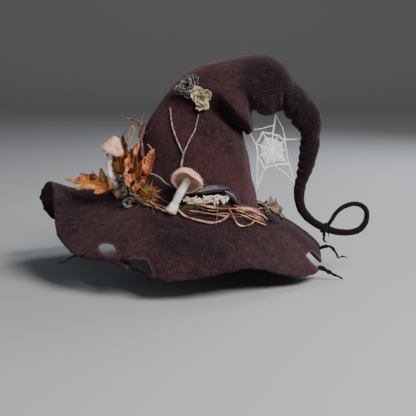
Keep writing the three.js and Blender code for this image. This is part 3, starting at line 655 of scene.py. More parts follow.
def steel_finish(name):
    """Bright drawn steel wire: fine streaks along its length that soften the highlight."""
    material, shader, add, join_up = blank(name, {"Metallic": 1.0, "Anisotropic": 0.3})
    place = add("TexCoord").outputs["Object"]
    drawn = add("Mapping", {0: place, "Scale": (900, 900, 60)})
    streak = add("TexNoise", {"Vector": drawn, "Scale": 1.0, "Detail": 3.0})
    stops = [(0.3, linear("#77787a")), (0.7, linear("#b9babd"))]
    colour = add("ValToRGB", {0: streak}, stops)
    rough = add("MapRange", {0: streak, 1: 0.3, 2: 0.7, 3: 0.22, 4: 0.4})
    join_up(shader, {"Base Color": colour, "Roughness": rough})
    return material


WAXY = {"Specular IOR Level": 0.4}
BARK = {"Specular IOR Level": 0.35}
GLOSSY = {"Specular IOR Level": 0.6, "Coat Weight": 0.4, "Coat Roughness": 0.25}
SHIMMER = {
    "Sheen Weight": 0.4,
    "Sheen Roughness": 0.3,
    "Sheen Tint": opaque(linear("#8f8498")),
    "Coat Weight": 0.5,
}
# Each finish's colour setting, dark and light shades, grain in mm, roughness, bump in mm, the
# colour of its veins or streaks, and what else its shader needs.
DRIED = {
    # Dry, hollow vine whose skin has split off: pale fibrous streaks.
    "dry_straw_vine": ("cane", 0.35, 1.5, 2.2, 0.6, 0.35, "#d9b79f", BARK),
    # Weathered bark: grey-brown, matt and flaking.
    "weathered_bark": ("twig", 0.3, 1.5, 1.6, 0.85, 0.4, "#a09089", None),
    # A dried root: dark red skin with paler scuffs.
    "dry_root": ("root", 0.35, 1.9, 1.8, 0.7, 0.35, "#9c6a62", None),
    # A thin stalk's bark: dark and matt.
    "berry_stalk_bark": ("twig", 0.3, 1.2, 1.6, 0.85, 0.3, None, None),
    # A dried berry's skin: taut, dark red and glossy between its wrinkles.
    "dried_berry_skin": ("berry", 0.35, 1.6, 1.8, 0.38, 0.2, "#4a2a1e", GLOSSY),
    # Dry spines: golden, stiff and slightly shiny.
    "golden_seed_spines": ("husk", 0.35, 2.0, 3.0, 0.55, 0.15, "#e2bd83", None),
    # Conifer needles: dark, with a pale line on some.
    "dark_needles": ("needle", 0.4, 1.9, 2.0, 0.6, 0.1, "#83867b", None),
    # Dried moss: dull olive tufts with straw-coloured tips.
    "dried_moss": ("moss", 0.4, 1.9, 3.0, 0.9, 0.2, "#a89c74", None),
    # Bleached branching lichen: chalky, off-white and quite matt.
    "bleached_lichen": ("lichen", 0.62, 1.12, 2.0, 0.92, 0.25, "#fff6e6", None),
    # Leafy lichen: papery ruffles, paler at their rims.
    "green_leafy_lichen": ("rosette", 0.45, 1.5, 2.4, 0.85, 0.3, "#cfc8a4", None),
    "grey_leafy_lichen": ("rosette_dark", 0.35, 1.7, 2.4, 0.85, 0.3, "#8f948a", None),
    # A feather's barbs: nearly black, with a violet sheen.
    "dark_feather": ("feather", 0.4, 2.4, 2.0, 0.45, 0.1, "#7d7180", SHIMMER),
    # Dried leaves: a leathery satin skin, mottled, with veins of another tone.
    "dried_oak_leaf": ("ochre", 0.4, 1.9, 3.2, 0.62, 0.4, "#b98d54", WAXY),
    "curled_maple_leaf": ("rust", 0.35, 1.7, 3.0, 0.6, 0.45, "#e09a70", WAXY),
    "pressed_maple_leaf": ("orange", 0.45, 1.5, 3.4, 0.6, 0.35, "#8a4d22", WAXY),
    "yellow_leaf": ("yellow", 0.5, 1.6, 2.5, 0.6, 0.3, "#b99a55", WAXY),
    "pink_brown_leaf": ("pink", 0.45, 1.7, 2.6, 0.62, 0.35, "#c99a83", WAXY),
    "grey_green_leaf": ("grey", 0.35, 2.1, 2.6, 0.75, 0.45, "#b09c84", WAXY),
    # Leafy lichen with a dusty, frosted bloom.
    "frosted_leafy_lichen": ("frosted", 0.35, 1.7, 2.0, 0.85, 0.3, "#a8aba2", None),
}


def dried_finish(name, settings):
    """One of the dried finishes in its colour setting."""
    colour, dark, light, grain, roughness, bump, vein, inputs = DRIED[name]
    tones = shades(getattr(settings, colour), dark, light)
    return natural_finish(name, tones, grain, roughness, bump, linear(vein) if vein else None, inputs)


# ------------------------------------------------------------------ the felt's shape
FELT = 4.0
SEAT = 0.35
TILT = math.radians(8.2)
RUN, RISE = 98 * math.cos(TILT), 98 * math.sin(TILT)
RING_AXIS = np.array([math.sin(TILT), 0, math.cos(TILT)])

# Front end, back end and half depth of each rib from the head opening to the neck of the tail.
RIBS = np.array([
    (-RUN, RISE, RUN, -RISE, 88), (-83, 48, 91, 13, 79), (-70, 81, 85, 37, 71),
    (-59, 111, 80, 64, 64), (-43, 136, 74, 88, 57), (-15, 171, 73, 95, 50),
    (12, 189, 83, 106, 49), (42, 198, 85, 124, 46), (68, 203, 97, 124, 43),
    (92, 205, 111, 124, 40), (111, 201, 122, 127, 36), (131, 188, 127, 124, 31),
    (144, 169, 132, 118, 26), (158, 156, 139, 110, 23), (172, 137, 146, 104, 20),
    (180, 115, 151, 96, 17), (180, 92, 152, 84, 15), (176, 70, 151, 69, 13),
    (171, 48, 148, 50, 11.5), (163, 31, 145, 33, 9.5), (159, 16, 143, 18, 8),
    (158.5, 8, 143.5, 9, 7.5),
])
LAST_RIB = len(RIBS) - 1
NECK = np.array([151, 0, 8.5])
NECK_RADIUS, TIP_RADIUS = 7.5, 2.8

# Edge and rise of each brim spoke, every 15 degrees from the back over the trimmed side.
SPOKES = np.array([
    (184, 0, -68, 15), (179, -46, -82, 14), (156, -84, -84, 14), (119, -113, -74, 14),
    (76, -142, -61, 16), (43, -161, -63, 18), (8, -171, -67, 18), (-30, -173, -69, 18),
    (-66, -166, -61, 16), (-100, -153, -49, 14), (-139, -129, -49, 10), (-173, -90, -29, 4),
    (-192, -20, 30, -12), (-220, 55, -2, 4), (-210, 108, -41, 12), (-175, 142, -53, 16),
    (-125, 162, -58, 18), (-70, 172, -61, 20), (-15, 176, -62, 20), (40, 174, -60, 20),
    (90, 160, -61, 18), (130, 134, -66, 16), (164, 95, -66, 16), (182, 50, -68, 16),
])

# The wired end of the tail, from the neck round in one loop.
CURL = np.array([
    (0, 0), (1.5, -9), (5, -19.5), (12, -28.5), (20, -35.5), (30, -41.5), (42, -46.5),
    (57, -50.5), (72, -50.5), (84, -47), (92, -38.5), (95, -27), (93, -18), (86, -11.5),
    (76, -9.5), (67, -11.5), (58, -16), (51, -23), (46, -31), (41, -39),
])
CURL = np.stack([CURL[:, 0], -0.4 * np.arange(len(CURL)), CURL[:, 1]], axis=1) + NECK


def crown(rib, angle, out=0.0):
    """Places on the crown: rib from 0 to LAST_RIB, angle from the back, out from the skin."""
    rib, angle, out = (np.ravel(v) for v in np.broadcast_arrays(rib, angle, out))
    where = rib / LAST_RIB
    front = spline(np.insert(RIBS[:, :2], 1, 0, axis=1), where)
    back = spline(np.insert(RIBS[:, 2:4], 1, 0, axis=1), where)
    index = np.arange(LAST_RIB + 1)
    depth = spline(np.stack([index, RIBS[:, 4], 0 * index], axis=1), where)[:, 1]
    half = (back - front) / 2
    length = np.linalg.norm(half, axis=1)
    reach = (length + out) * np.cos(angle)
    made = (front + back) / 2 + half / length[:, None] * reach[:, None]
    made[:, 1] -= (depth + out) * np.sin(angle)
    return made


def brim(angle, out):
    """Places on the brim's upper skin: out from 0 at the crown to 1 at the edge."""
    angle, out = (np.ravel(v).astype(float) for v in np.broadcast_arrays(angle, out))
    inner = crown(0, angle, 2 * SEAT) + RING_AXIS * FELT
    where = (angle / TURN) % 1
    edge = spline(SPOKES[:, :3], where, closed=True)
    rise = spline(np.stack([SPOKES[:, 3]] * 3, axis=1) * (0, 0, 1), where, closed=True)
    middle = (inner + edge) / 2 + rise
    t = out[:, None]
    return (1 - t) ** 2 * inner + 2 * t * (1 - t) * middle + t * t * edge


def brim_normal(angle, out):
    step = 0.02
    radial = brim(angle, np.asarray(out) + step) - brim(angle, np.asarray(out) - step)
    around = brim(np.asarray(angle) + step, out) - brim(np.asarray(angle) - step, out)
    return unit(np.cross(around, radial))


def foot(degrees, outwards, above):
    """A place by the crown's foot, outwards from it and above the brim."""
    angle = np.radians(degrees)
    reach = np.linalg.norm(brim(angle, 1.0) - brim(angle, 0.0), axis=1)
    out = 0.03 + outwards / reach
    return brim(angle, out) + brim_normal(angle, out) * np.reshape(above, (-1, 1))


def curl_radius(u):
    return NECK_RADIUS + (TIP_RADIUS - NECK_RADIUS) * np.asarray(u) ** 0.55


COLUMNS = 512
ANGLES = turns_of(COLUMNS)


def facing_crease(angle):
    """1 where the fold overhangs, round the back and the trimmed side, falling to 0."""
    turned = np.degrees((np.asarray(angle) + math.pi) % TURN - math.pi)
    return smooth(turned, -118, -60) * (1 - smooth(turned, 80, 122))


def crown_rows(settings):
    """Rows of the crown's outer skin from above the foot to the neck, before its ripples."""
    turned = np.abs(np.degrees((ANGLES + math.pi) % TURN - math.pi))
    lip = settings.lip / MM * (0.6 + 0.4 * smooth(turned, 0, 55))
    tuck = settings.tuck / MM * (0.25 + 0.75 * smooth(turned, 0, 50))
    # Rib, share of the tuck or lip, and how much the crease's rise moves the place, up the crown.
    crease = np.array([
        (4.3, 0, 0), (4.72, -0.07, -0.15), (5.06, -0.6, -0.3), (5.3, -1, -0.3), (5.4, -0.6, 0.1),
        (5.22, 0.2, 0.75), (5.0, 0.75, 1), (4.97, 1, 1), (5.2, 1.15, 0.95), (5.7, 0.95, 0.7),
        (6.3, 0.45, 0.35), (7.0, 0, 0),
    ])
    # At the back the lip is a round pouch, so its widest part lies further up.
    pouch = np.array([0, 0, 0, 0, 0, 0.05, 0.2, 0.45, 0.7, 0.8, 0.5, 0])
    steps = np.linspace(0, 1, 44)
    creased = spline(crease, steps)
    raised = np.interp(steps * 11, np.arange(12), pouch)
    behind = 1 - smooth(turned, 15, 60)
    plain = np.interp(steps, [0, 1], [4.3, 7.0])
    strength = facing_crease(ANGLES)
    rise = 1.0 * smooth(np.degrees((ANGLES + math.pi) % TURN - math.pi), 4, 50)
    rows = [(np.full(COLUMNS, rib), np.zeros(COLUMNS)) for rib in np.linspace(0.45, 4.26, 63)]
    for (rib, share, moved), more, bare in zip(creased, raised, plain):
        out = share * np.where(share < 0, tuck, lip)
        rows.append((bare + (rib + moved * rise + more * behind - bare) * strength, out * strength))
    rows += [(np.full(COLUMNS, rib), np.zeros(COLUMNS)) for rib in np.linspace(7.06, 12, 52)]
    rows += [(np.full(COLUMNS, rib), np.zeros(COLUMNS)) for rib in np.linspace(12.1, 21, 92)]
    return [crown(rib, ANGLES, out) for rib, out in rows], *(list(part) for part in zip(*rows))


def brim_rows():
    """Rows of the brim's upper skin from the foot out to the edge, before its ripples."""
    edge = brim(ANGLES, 1.0)
    ragged = 1 + 0.012 * drift(edge, 26, 11) + 0.008 * drift(edge, 7, 12) + 0.004 * drift(edge, 3, 13)
    outs = np.concatenate([np.linspace(0.12, 0.97, 50), [0.979, 0.986, 0.992, 0.996, 0.999, 1.0]])
    return [brim(ANGLES, out * (1 + (ragged - 1) * out**3)) for out in outs], outs


def fillet(start, corner, end, count):
    """Rows that turn smoothly from start to end, cutting the corner."""
    shares = np.linspace(0, 1, count + 2)[1:-1]
    return [(1 - t) ** 2 * start + 2 * t * (1 - t) * corner + t * t * end for t in shares]


def felted(rows, amounts):
    """The rows as one grid with the swellings and nap of wet felt, and the grid's normals."""

    def facing(grid):
        around = np.roll(grid, -1, axis=1) - np.roll(grid, 1, axis=1)
        return unit(np.cross(np.gradient(grid, axis=0), around))

    grid = np.array(rows)
    grid = grid + facing(grid) * amounts(grid)[..., None]
    return grid, facing(grid)


def hat_skin(settings):
    """The upper skin from the brim's edge to the neck as one grid, with normals and marks."""
    brim_part, outs = brim_rows()
    crown_part, ribs, outward = crown_rows(settings)
    foot_rows = fillet(crown_part[0], crown(0.12, ANGLES), brim_part[0], 9)
    rows = brim_part[::-1] + foot_rows[::-1] + crown_part
    out_of = np.concatenate([outs[::-1], np.zeros(len(rows) - len(outs))])
    rib_of = np.zeros((len(rows), COLUMNS))
    rib_of[-len(ribs):] = np.array(ribs)
    inner_bend = smooth(np.cos(ANGLES), -0.4, 0.9)[None]

    def swelling(grid):
        tail = smooth(rib_of, 11.5, 14.5)
        broad = 1.5 * drift(grid, 44, 1) * (1 - 0.65 * tail) + 0.7 * drift(grid, 16, 2)
        nap = 0.26 * drift(grid, 5.5, 3) + 0.13 * drift(grid, 2.3, 4)
        wave = 2.2 * drift(grid, 62, 5) * smooth(out_of, 0.25, 0.85)[:, None]
        folds = ((7.35, 0.28, -4.0), (8.7, 0.8, 4.0), (10.8, 0.34, -6.5), (12.6, 0.26, -3.4))
        dents = sum(deep * np.exp(-(((rib_of - at) / wide) ** 2)) for at, wide, deep in folds)
        dents = dents * inner_bend
        dents += 1.9 * drift(grid, 17, 14) * tail * (1 - smooth(rib_of, 19, 20.6))
        wander = rib_of * 1.55 + 0.32 * drift(grid, 21, 6)
        rings = np.abs(np.sin(math.pi * wander)) ** 0.6 - 0.7
        rings *= (1.9 + 1.6 * drift(grid, 24, 15)) * (0.4 + 0.6 * inner_bend)
        rings *= tail * (1 - smooth(rib_of, 19.4, 20.6))
        shallow = 1 - smooth(out_of, 0.93, 0.97)[:, None] * 0.7
        return broad + nap * shallow + wave + dents + rings

    grid, normals = felted(rows, swelling)
    marks = np.zeros((*grid.shape[:2], 3))
    # Painted shade: the crease under the fold's overhang goes towards near black where the tuck goes in.
    under = np.zeros((len(rows), COLUMNS))
    under[-len(ribs):] = smooth(-np.array(outward), -4.5, 4)
    marks[..., 1] = 0.8 * under * np.exp(-(((rib_of - 5.4) / 0.75) ** 2)) * facing_crease(ANGLES)
    marks[..., 0] = 0.55 * smooth(out_of, 0.95, 1.0)[:, None]
    # Redder wool on the cone, blacker wool towards the tail.
    marks[..., 2] = 0.22 * drift(grid, 30, 9) + np.interp(
        rib_of, [0, 0.4, 3, 7, 9.5, 12, 14], [-0.35, 0.15, 0.7, 0.3, -0.9, -1.5, -1.8]
    )
    marks[..., 2] -= 0.55 * smooth(grid[..., 0], 30, 140) * (rib_of < 0.4)
    return grid, normals, marks, len(brim_part) + 4


def curl_rows(settings, count=190):
    """Rings of the wired end of the tail, from just past the neck to its rounded tip."""
    line = even(CURL, count)[2:]
    share = np.linspace(0, 1, len(line))
    ahead = unit(np.gradient(line, axis=0))
    across = np.array([(0, -1, 0)] * len(line), float)
    side = unit(np.cross(ahead, across))
    angle = turns_of(COLUMNS // 8)[None, :, None]
    end = np.sqrt(np.clip(1 - ((share - 0.985) / 0.015).clip(0) ** 2, 0.02, 1))
    radius = (curl_radius(share) * end)[:, None, None]
    rings = line[:, None] + radius * (np.cos(angle) * side[:, None] + np.sin(angle) * across[:, None])
    out = unit(rings - line[:, None])
    calm = smooth(share, 0, 0.06)[:, None]
    ripple = 0.34 * drift(rings, 9, 21) + 0.2 * drift(rings, 3.2, 22)
    crease = np.abs(np.sin(math.pi * (share[:, None] * 31 + angle[..., 0] / TURN * 2)))
    ripple += 0.42 * (crease**0.5 - 0.75) * calm * (1 - 0.5 * share[:, None])
    rings = rings + out * (ripple * end[:, None])[..., None]
    marks = np.zeros_like(rings)
    marks[..., 2] = 0.2 * drift(rings, 30, 9) - 1.8
    return rings, marks


TEARS = (
    # Place on the brim as spoke and out, how far behind it the cut starts, and its outline.
    (138.5, 0.865, 56, [
        (12, 0.4), (10.4, 3.1), (6, 5), (0, 5.6), (-6, 4.6), (-10.4, 2.5),
        (-12.2, -0.6), (-10.4, -3), (-6, -4.6), (0, -5.6), (6, -5), (10.8, -2.6),
    ]),
    (118, 0.93, 81, [
        (-16, -30), (-16, 5), (-13, 8.4), (-8, 9.6), (-2, 8.8), (4, 9), (9, 6),
        (12, 2), (14, -3), (15, -7), (16, -10), (22, -30),
    ]),
    (19, 0.895, 24, [
        (-9, 9), (-4, 10.4), (1, 10), (5, 6), (9, 2), (15, -1), (22, -4), (24, -6.5),
        (22, -9), (14, -8), (8, -9), (3, -5), (-1, -1), (-6, 5),
    ]),
)


def tear_place(tear):
    return brim(math.radians(tear[0]), tear[1])[0]


def tear_outline(tear):
    """The tear's outline with the frayed waver of torn felt, as x and z."""
    outline = spacing_along(tear[3], 1.2)
    flat = np.insert(outline, 1, tear[0], axis=1)
    away = unit(outline)
    frayed = 0.7 * drift(flat, 4, 31) + 0.4 * drift(flat, 1.9, 32)
    place = tear_place(tear)
    return outline + away * frayed[:, None] + (place[0], place[2])


def cut_tears(piece):
    """Cuts the torn holes through a piece and marks the worn felt round them."""
    cutters = []
    for tear in TEARS:
        outline = tear_outline(tear)
        start = tear_place(tear)[1] + tear[2]
        clay = Clay()
        clay.loft([np.insert(outline, 1, y, axis=1) for y in (start - 200, start)])
        mesh = bpy.data.meshes.new("cutter")
        mesh.from_pydata((np.concatenate(clay.points) * MM).tolist(), [], clay.faces)
        turned = bmesh.new()
        turned.from_mesh(mesh)
        bmesh.ops.recalc_face_normals(turned, faces=turned.faces)
        turned.to_mesh(mesh)
        turned.free()
        cutter = bpy.data.objects.new("cutter", mesh)
        bpy.context.scene.collection.objects.link(cutter)
        cutters.append(cutter)
        cut = piece.modifiers.new("tear", "BOOLEAN")
        cut.operation, cut.solver, cut.object = "DIFFERENCE", "EXACT", cutter
    bpy.context.view_layer.update()
    seen = piece.evaluated_get(bpy.context.evaluated_depsgraph_get())
    mesh = bpy.data.meshes.new_from_object(seen)
    piece.modifiers.clear()
    piece.data = mesh
    for cutter in cutters:
        bpy.data.objects.remove(cutter)
    mesh.shade_smooth()
    points = vertex_places(mesh)
    marks = np.zeros(len(points) * 3, np.float32)
    mesh.attributes["mark"].data.foreach_get("vector", marks)
    marks = marks.reshape(-1, 3)
    for tear in TEARS:
        outline = tear_outline(tear)
        near = np.linalg.norm(points - tear_place(tear), axis=1) < 60
        gaps = np.linalg.norm(points[near][:, None, (0, 2)] - outline[None], axis=2).min(1)
        marks[near, 0] = np.maximum(marks[near, 0], 0.85 * np.exp(-((gaps / 1.8) ** 2)))
    mesh.attributes["mark"].data.foreach_set("vector", marks.ravel())


def add_felt(settings, finish):
    """The crown with its curl as one felt piece, and the brim as the other."""
    grid, normals, marks, split = hat_skin(settings)
    crown_grid, crown_marks = grid[split:], marks[split:]
    # Fewer columns where the tail is slim.
    strides = [1] * (len(crown_grid) - 123) + [2] * 32 + [4] * 90 + [8]
    rings = [row[::stride] for row, stride in zip(crown_grid, strides)]
    shown = [row[::stride] for row, stride in zip(crown_marks, strides)]
    curl, curl_marks = curl_rows(settings)
    rings += list(curl)
    shown += list(curl_marks)
    lining, lining_marks = [], []
    inner_ribs = np.linspace(0.3, 13.5, 70)
    for rib in inner_ribs:
        deep = 7.5 * math.exp(-(((rib - 5.25) / 0.7) ** 2)) * facing_crease(ANGLES[::4])
        row = crown(rib, ANGLES[::4], -FELT - deep)
        lining.append(row + unit(row - row.mean(0)) * (0.5 * drift(row, 9, 41))[:, None])
        # The lining is painted slightly darker, as shade inside the crown.
        lining_marks.append(np.zeros_like(row) + (0, 0.12, 0))
    ease = [crown(0.3, ANGLES[::stride], -FELT) for stride in (1, 2)]
    chain = rings[::-1] + ease + lining
    chain_marks = shown[::-1] + [np.zeros_like(r) for r in ease] + lining_marks
    clay = Clay()
    clay.loft(chain, np.concatenate(chain_marks))
    crown_piece = clay.piece(
        "crown_felt",
        finish,
        "dark_felt",
        body=None,
        stands_for=("crown_cone", "crown_fold", "crown_bulge", "tail", "tail_curl"),
    )
    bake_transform(crown_piece)

    half = FELT / 2
    top_rows = grid[: split + 1][::-1]
    top_normals = normals[: split + 1][::-1]
    top_marks = marks[: split + 1][::-1]
    edge = np.array([1.0] * (len(top_rows) - 6) + [0.97, 0.9, 0.78, 0.6, 0.36, 0.12])
    upper = [
        row - normal * half * (1 - thick)
        for row, normal, thick in zip(top_rows, top_normals, edge)
    ]
    count = len(brim_rows()[1])
    under = [
        row - normal * half * (1 + thick)
        for row, normal, thick in zip(top_rows[-count:], top_normals[-count:], edge[-count:])
    ][::-1]
    inner = crown(0.3, ANGLES, -FELT)
    turn_in = fillet(under[-1], crown(0.0, ANGLES, -FELT), inner, 6)
    chain = upper + under + turn_in + [inner]
    under_marks = list(top_marks[-count:][::-1]) + [np.zeros_like(inner)] * (len(turn_in) + 1)
    clay = Clay()
    clay.loft(chain, np.concatenate(list(top_marks) + under_marks), loop=True)
    brim_piece = clay.piece("brim_felt", finish, "dark_felt", stands_for=("brim",))
    cut_tears(brim_piece)
    return crown_piece, brim_piece


# ------------------------------------------------------------------ seats on the felt
SURFACES = {}


def felt_trees():
    """Search trees of the felt pieces, made once."""
    if not SURFACES:
        graph = bpy.context.evaluated_depsgraph_get()
        for name in ("crown_felt", "brim_felt"):
            SURFACES[name] = BVHTree.FromObject(bpy.data.objects[name], graph)
    return SURFACES.values()


def on_felt(points):
    """Places on the felt met by level lines from the trimmed side; each is x, z and lift."""
    made = []
    for x, z, lift in points:
        start = Vector((x * MM, -0.4, z * MM))
        hits = [tree.ray_cast(start, Vector((0, 1, 0))) for tree in felt_trees()]
        place, normal, _, _ = min((h for h in hits if h[0]), key=lambda h: h[3])
        made.append(np.array(place) / MM + np.array(normal) * lift)
    return np.array(made)


def nearest_on_felt(place, lift):
    """The felt place nearest to a point, lifted off it, and the way out of the felt there."""
    found = [tree.find_nearest(Vector(np.asarray(place) * MM)) for tree in felt_trees()]
    spot, normal, _, _ = min((f for f in found if f[0]), key=lambda f: f[3])
    return np.array(spot) / MM + np.array(normal) * lift, np.array(normal)


def lumpy(rings, amount, size, seed):
    """Rings swollen and pinched by a share of their radius."""
    centre = rings.mean(axis=1, keepdims=True)
    return centre + (rings - centre) * (1 + amount * drift(rings, size, seed))[..., None]


def strips(clay, lines, radii, sides, around=3, marks=(0, 0, 0)):
    """Many thin rods at once: lines is rods by places by 3, sides one vector a rod."""
    lines = np.asarray(lines, float)
    count, places, _ = lines.shape
    radii = np.broadcast_to(radii, (count, places))[..., None, None]
    ahead = unit(lines[:, -1] - lines[:, 0])
    side = unit(sides - ahead * np.sum(sides * ahead, axis=1, keepdims=True))
    across = np.cross(ahead, side)[:, None, None]
    turn = turns_of(around)[None, None, :, None]
    around_it = np.cos(turn) * side[:, None, None] + np.sin(turn) * across
    points = lines[:, :, None] + radii * around_it
    quads = [
        face for i in range(places - 1) for face in joining_faces(
            around, around, i * around, (i + 1) * around
        )
    ]
    ends = [list(range(around))[::-1], [(places - 1) * around + j for j in range(around)]]
    step = places * around
    base = (np.arange(count) * step)[:, None, None]
    faces = (np.array(quads)[None] + base).reshape(-1, 4).tolist()
    faces += (np.array(ends)[None] + base).reshape(-1, around).tolist()
    marks = np.asarray(marks, float)
    if marks.ndim == 2:
        marks = np.repeat(marks, step, axis=0)
    elif marks.ndim == 3:
        marks = np.repeat(marks.reshape(-1, 3), around, axis=0)
    clay.add(points, faces, marks)


def scatter(piece, count, rng, keep=None):
    """Random places over a piece's faces, evenly by area, with their normals."""
    mesh = piece.data
    mesh.calc_loop_triangles()
    points = vertex_places(mesh)
    corners = np.zeros(len(mesh.loop_triangles) * 3, np.int32)
    mesh.loop_triangles.foreach_get("vertices", corners)
    a, b, c = points[corners.reshape(-1, 3)].transpose(1, 0, 2)
    cross = np.cross(b - a, c - a)
    area = np.linalg.norm(cross, axis=1)
    if keep is not None:
        area = area * keep((a + b + c) / 3, unit(cross))
    chosen = rng.choice(len(area), count, p=area / area.sum())
    u, v = rng.random((2, count))
    over = u + v > 1
    u, v = np.where(over, 1 - u, u)[:, None], np.where(over, 1 - v, v)[:, None]
    a, b, c = a[chosen], b[chosen], c[chosen]
    return a + u * (b - a) + v * (c - a), unit(cross[chosen])


def own_marks(rng, count, *chances):
    """Marks for many forms: each chance is a share of them and its value, then each one's own tone."""
    marks = np.zeros((count, 3))
    for k, (chance, value) in enumerate(chances):
        marks[:, k] = np.where(rng.random(count) < chance, value, 0)
    marks[:, 2] = rng.uniform(-1, 1, count)
    return marks


def add_fibres(clay, piece, count, length, radius, rng, lift=1.0, keep=None):
    """Loose wool fibres that lie on a piece with their ends lifting."""
    places, normals = scatter(piece, count, rng, keep)
    along = unit(np.cross(normals, rng.normal(size=(count, 3))))
    bend = unit(np.cross(normals, along)) * rng.normal(0, 0.35, (count, 1))
    run = length * rng.uniform(0.5, 1.4, (count, 1))
    rise = lift * rng.gamma(1.3, 0.5, (count, 1))
    lines = []
    for share in np.linspace(-0.5, 0.5, 5):
        ends = (2 * share) ** 2
        lines.append(
            places
            + along * share * run
            + bend * run * ends
            + normals * (rise * np.abs(share) * (1 + share) + 0.12)
        )
    marks = np.zeros((count, 3))
    marks[:, 0] = np.where(rng.random(count) < 0.12, rng.uniform(0.2, 0.7, count), 0)
    marks[:, 2] = rng.uniform(-1, 1, count)
    radii = radius * np.array([0.35, 1, 1, 0.9, 0.2])
    strips(clay, np.stack(lines, axis=1), radii, normals, 3, marks)


def ragged_strand(clay, line, thick, thin, seed, twist=2.0):
    """A strand of twisted felt that thins to a frayed tip."""
    line = even(line, 70)
    wander = swaying(line, 7, seed)
    line = line + 0.5 * wander * smooth(np.linspace(0, 1, 70), 0.05, 0.3)[:, None]
    share = np.linspace(0, 1, 70)
    radius = (thick + (thin - thick) * share) * (1 + 0.22 * drift(line, 4, seed + 5))
    radius *= np.sqrt(np.clip((1 - share) / 0.04, 0.02, 1))
    rings = tube(line, radius, 14, flat=0.72, twist=twist)
    rings = lumpy(rings, 0.18, 2.2, seed + 6)
    mark = np.zeros((70 * 14, 3))
    mark[:, 2] = -1.2
    clay.loft(rings, mark)


def add_strands(finish):
    """The three loose strands at the brim's edge and the one left across the bite."""
    runs = (
        (
            "tendril_front", "strand_front", 148, 2.6, 0.7,
            [(-8, -1, 2), (-14, 0, 1), (-26, 1, -6), (-36, 2, -10)]
        ),
        ("tendril_back_upper", "strand_back_upper", 359, 3.0, 0.9,
         [(8, -3, 3), (15, -5, 2), (22, -6, -6), (25, -4, -13), (31, -4, -11), (39, -2, -14)]),
        ("tendril_back_lower", "strand_back_lower", 17, 4.0, 0.8, [(9, 0, -4), (20, 0, -10), (34, 1, -17)]),
    )
    for seed, (name, body, spoke, thick, thin, bends) in enumerate(runs):
        root = brim(math.radians(spoke), 0.98)[0]
        line = np.array([root, *(root + bend for bend in np.array(bends, float))])
        clay = Clay()
        ragged_strand(clay, line, thick, thin, 50 + 10 * seed)
        clay.piece(name + "_felt", finish, "dark_felt", body=body, stands_for=(name,))
    middle = tear_place(TEARS[1])
    bends = [
        (-18, 3, 11), (-12, 1, 4), (-7, -1, -2), (-1, -3, -2), (5, -5, -5), (10, -7, -12), (17, -9, -14)
    ]
    clay = Clay()
    ragged_strand(clay, middle + np.array(bends, float), 2.9, 2.4, 90)
    ends = ((118, (-20, 3, 13), (-24, 3, 9), (-23, 4, 5)), (130, (-17, 3, 9), (-21, 3, 6), (-22, 3, 2)))
    for seed, *bends in ends:
        ragged_strand(clay, middle + np.array(bends, float), 1.5, 0.6, seed)
    clay.piece("brim_strip_felt", finish, "dark_felt", stands_for=("brim_strip",))


def add_knot(finish):
    """A strip of felt wound twice round the curl where its tip meets it, with a loose end."""
    line = even(CURL, 400)
    spot = round(0.29 * 399)
    radius = float(curl_radius(0.29))
    ahead, side, across = frames(line)
    clay = Clay()
    turns = np.linspace(0, 1.9 * TURN, 90)
    along = np.linspace(-3.4, 3.2, 90)
    centre = line[spot] + ahead[spot] * along[:, None]
    wound = centre + (radius + 0.9) * (
        np.cos(turns)[:, None] * side[spot] + np.sin(turns)[:, None] * across[spot]
    )
    rings = lumpy(tube(wound, 2.3, 12, flat=0.8), 0.25, 2.6, 140)
    clay.loft(rings, (0, 0, -1.5))
    ends = [(-1, -2, -6), (-1, -3, -11), (-2, -3, -17), (4, -3, -21)]
    loose = line[spot] + np.array([(0, -1, -2), *ends], float)
    ragged_strand(clay, loose, 2.6, 1.0, 150)
    short = line[spot] + np.array([(2, -2, -3), (5, -3, -8), (4, -4, -12)], float)
    ragged_strand(clay, short, 1.5, 0.5, 160)
    clay.piece("tail_knot_felt", finish, "dark_felt", body="curl", stands_for=("tail_knot",))


def add_band(finish, thread):
    """A grosgrain ribbon inside the head opening, and the running stitch that holds it."""
    clay = Clay()
    columns, rows = 420, 9
    angle = turns_of(columns)
    outer, inner = [], []
    for share in np.linspace(0, 1, rows):
        swell = 0.25 * np.sin(angle * 23 + share * 2) + 0.2 * np.sin(angle * 9)
        rib = 0.03 + 0.84 * share
        outer.append(crown(rib, angle, -FELT - 0.5 + 0.3 * swell))
        inner.append(crown(rib, angle, -FELT - 1.3 + 0.3 * swell))
    clay.loft(inner + outer[::-1], loop=True)
    ribbon = clay.piece("sweatband_ribbon", finish, "band_ribbon", stands_for=("sweatband",))
    woven = np.array(outer)
    stitches = Clay()
    for share in (0.07, 0.93):
        for start in turns_of(84):
            reach = start + np.linspace(0, 0.042, 5)
            lift = -FELT - 1.45 - 0.35 * np.sin(np.linspace(0, math.pi, 5))
            stitches.rod(crown(0.03 + 0.84 * share, reach, lift), 0.3, 5)
    stitches.piece("sweatband_stitches", thread, "cotton")


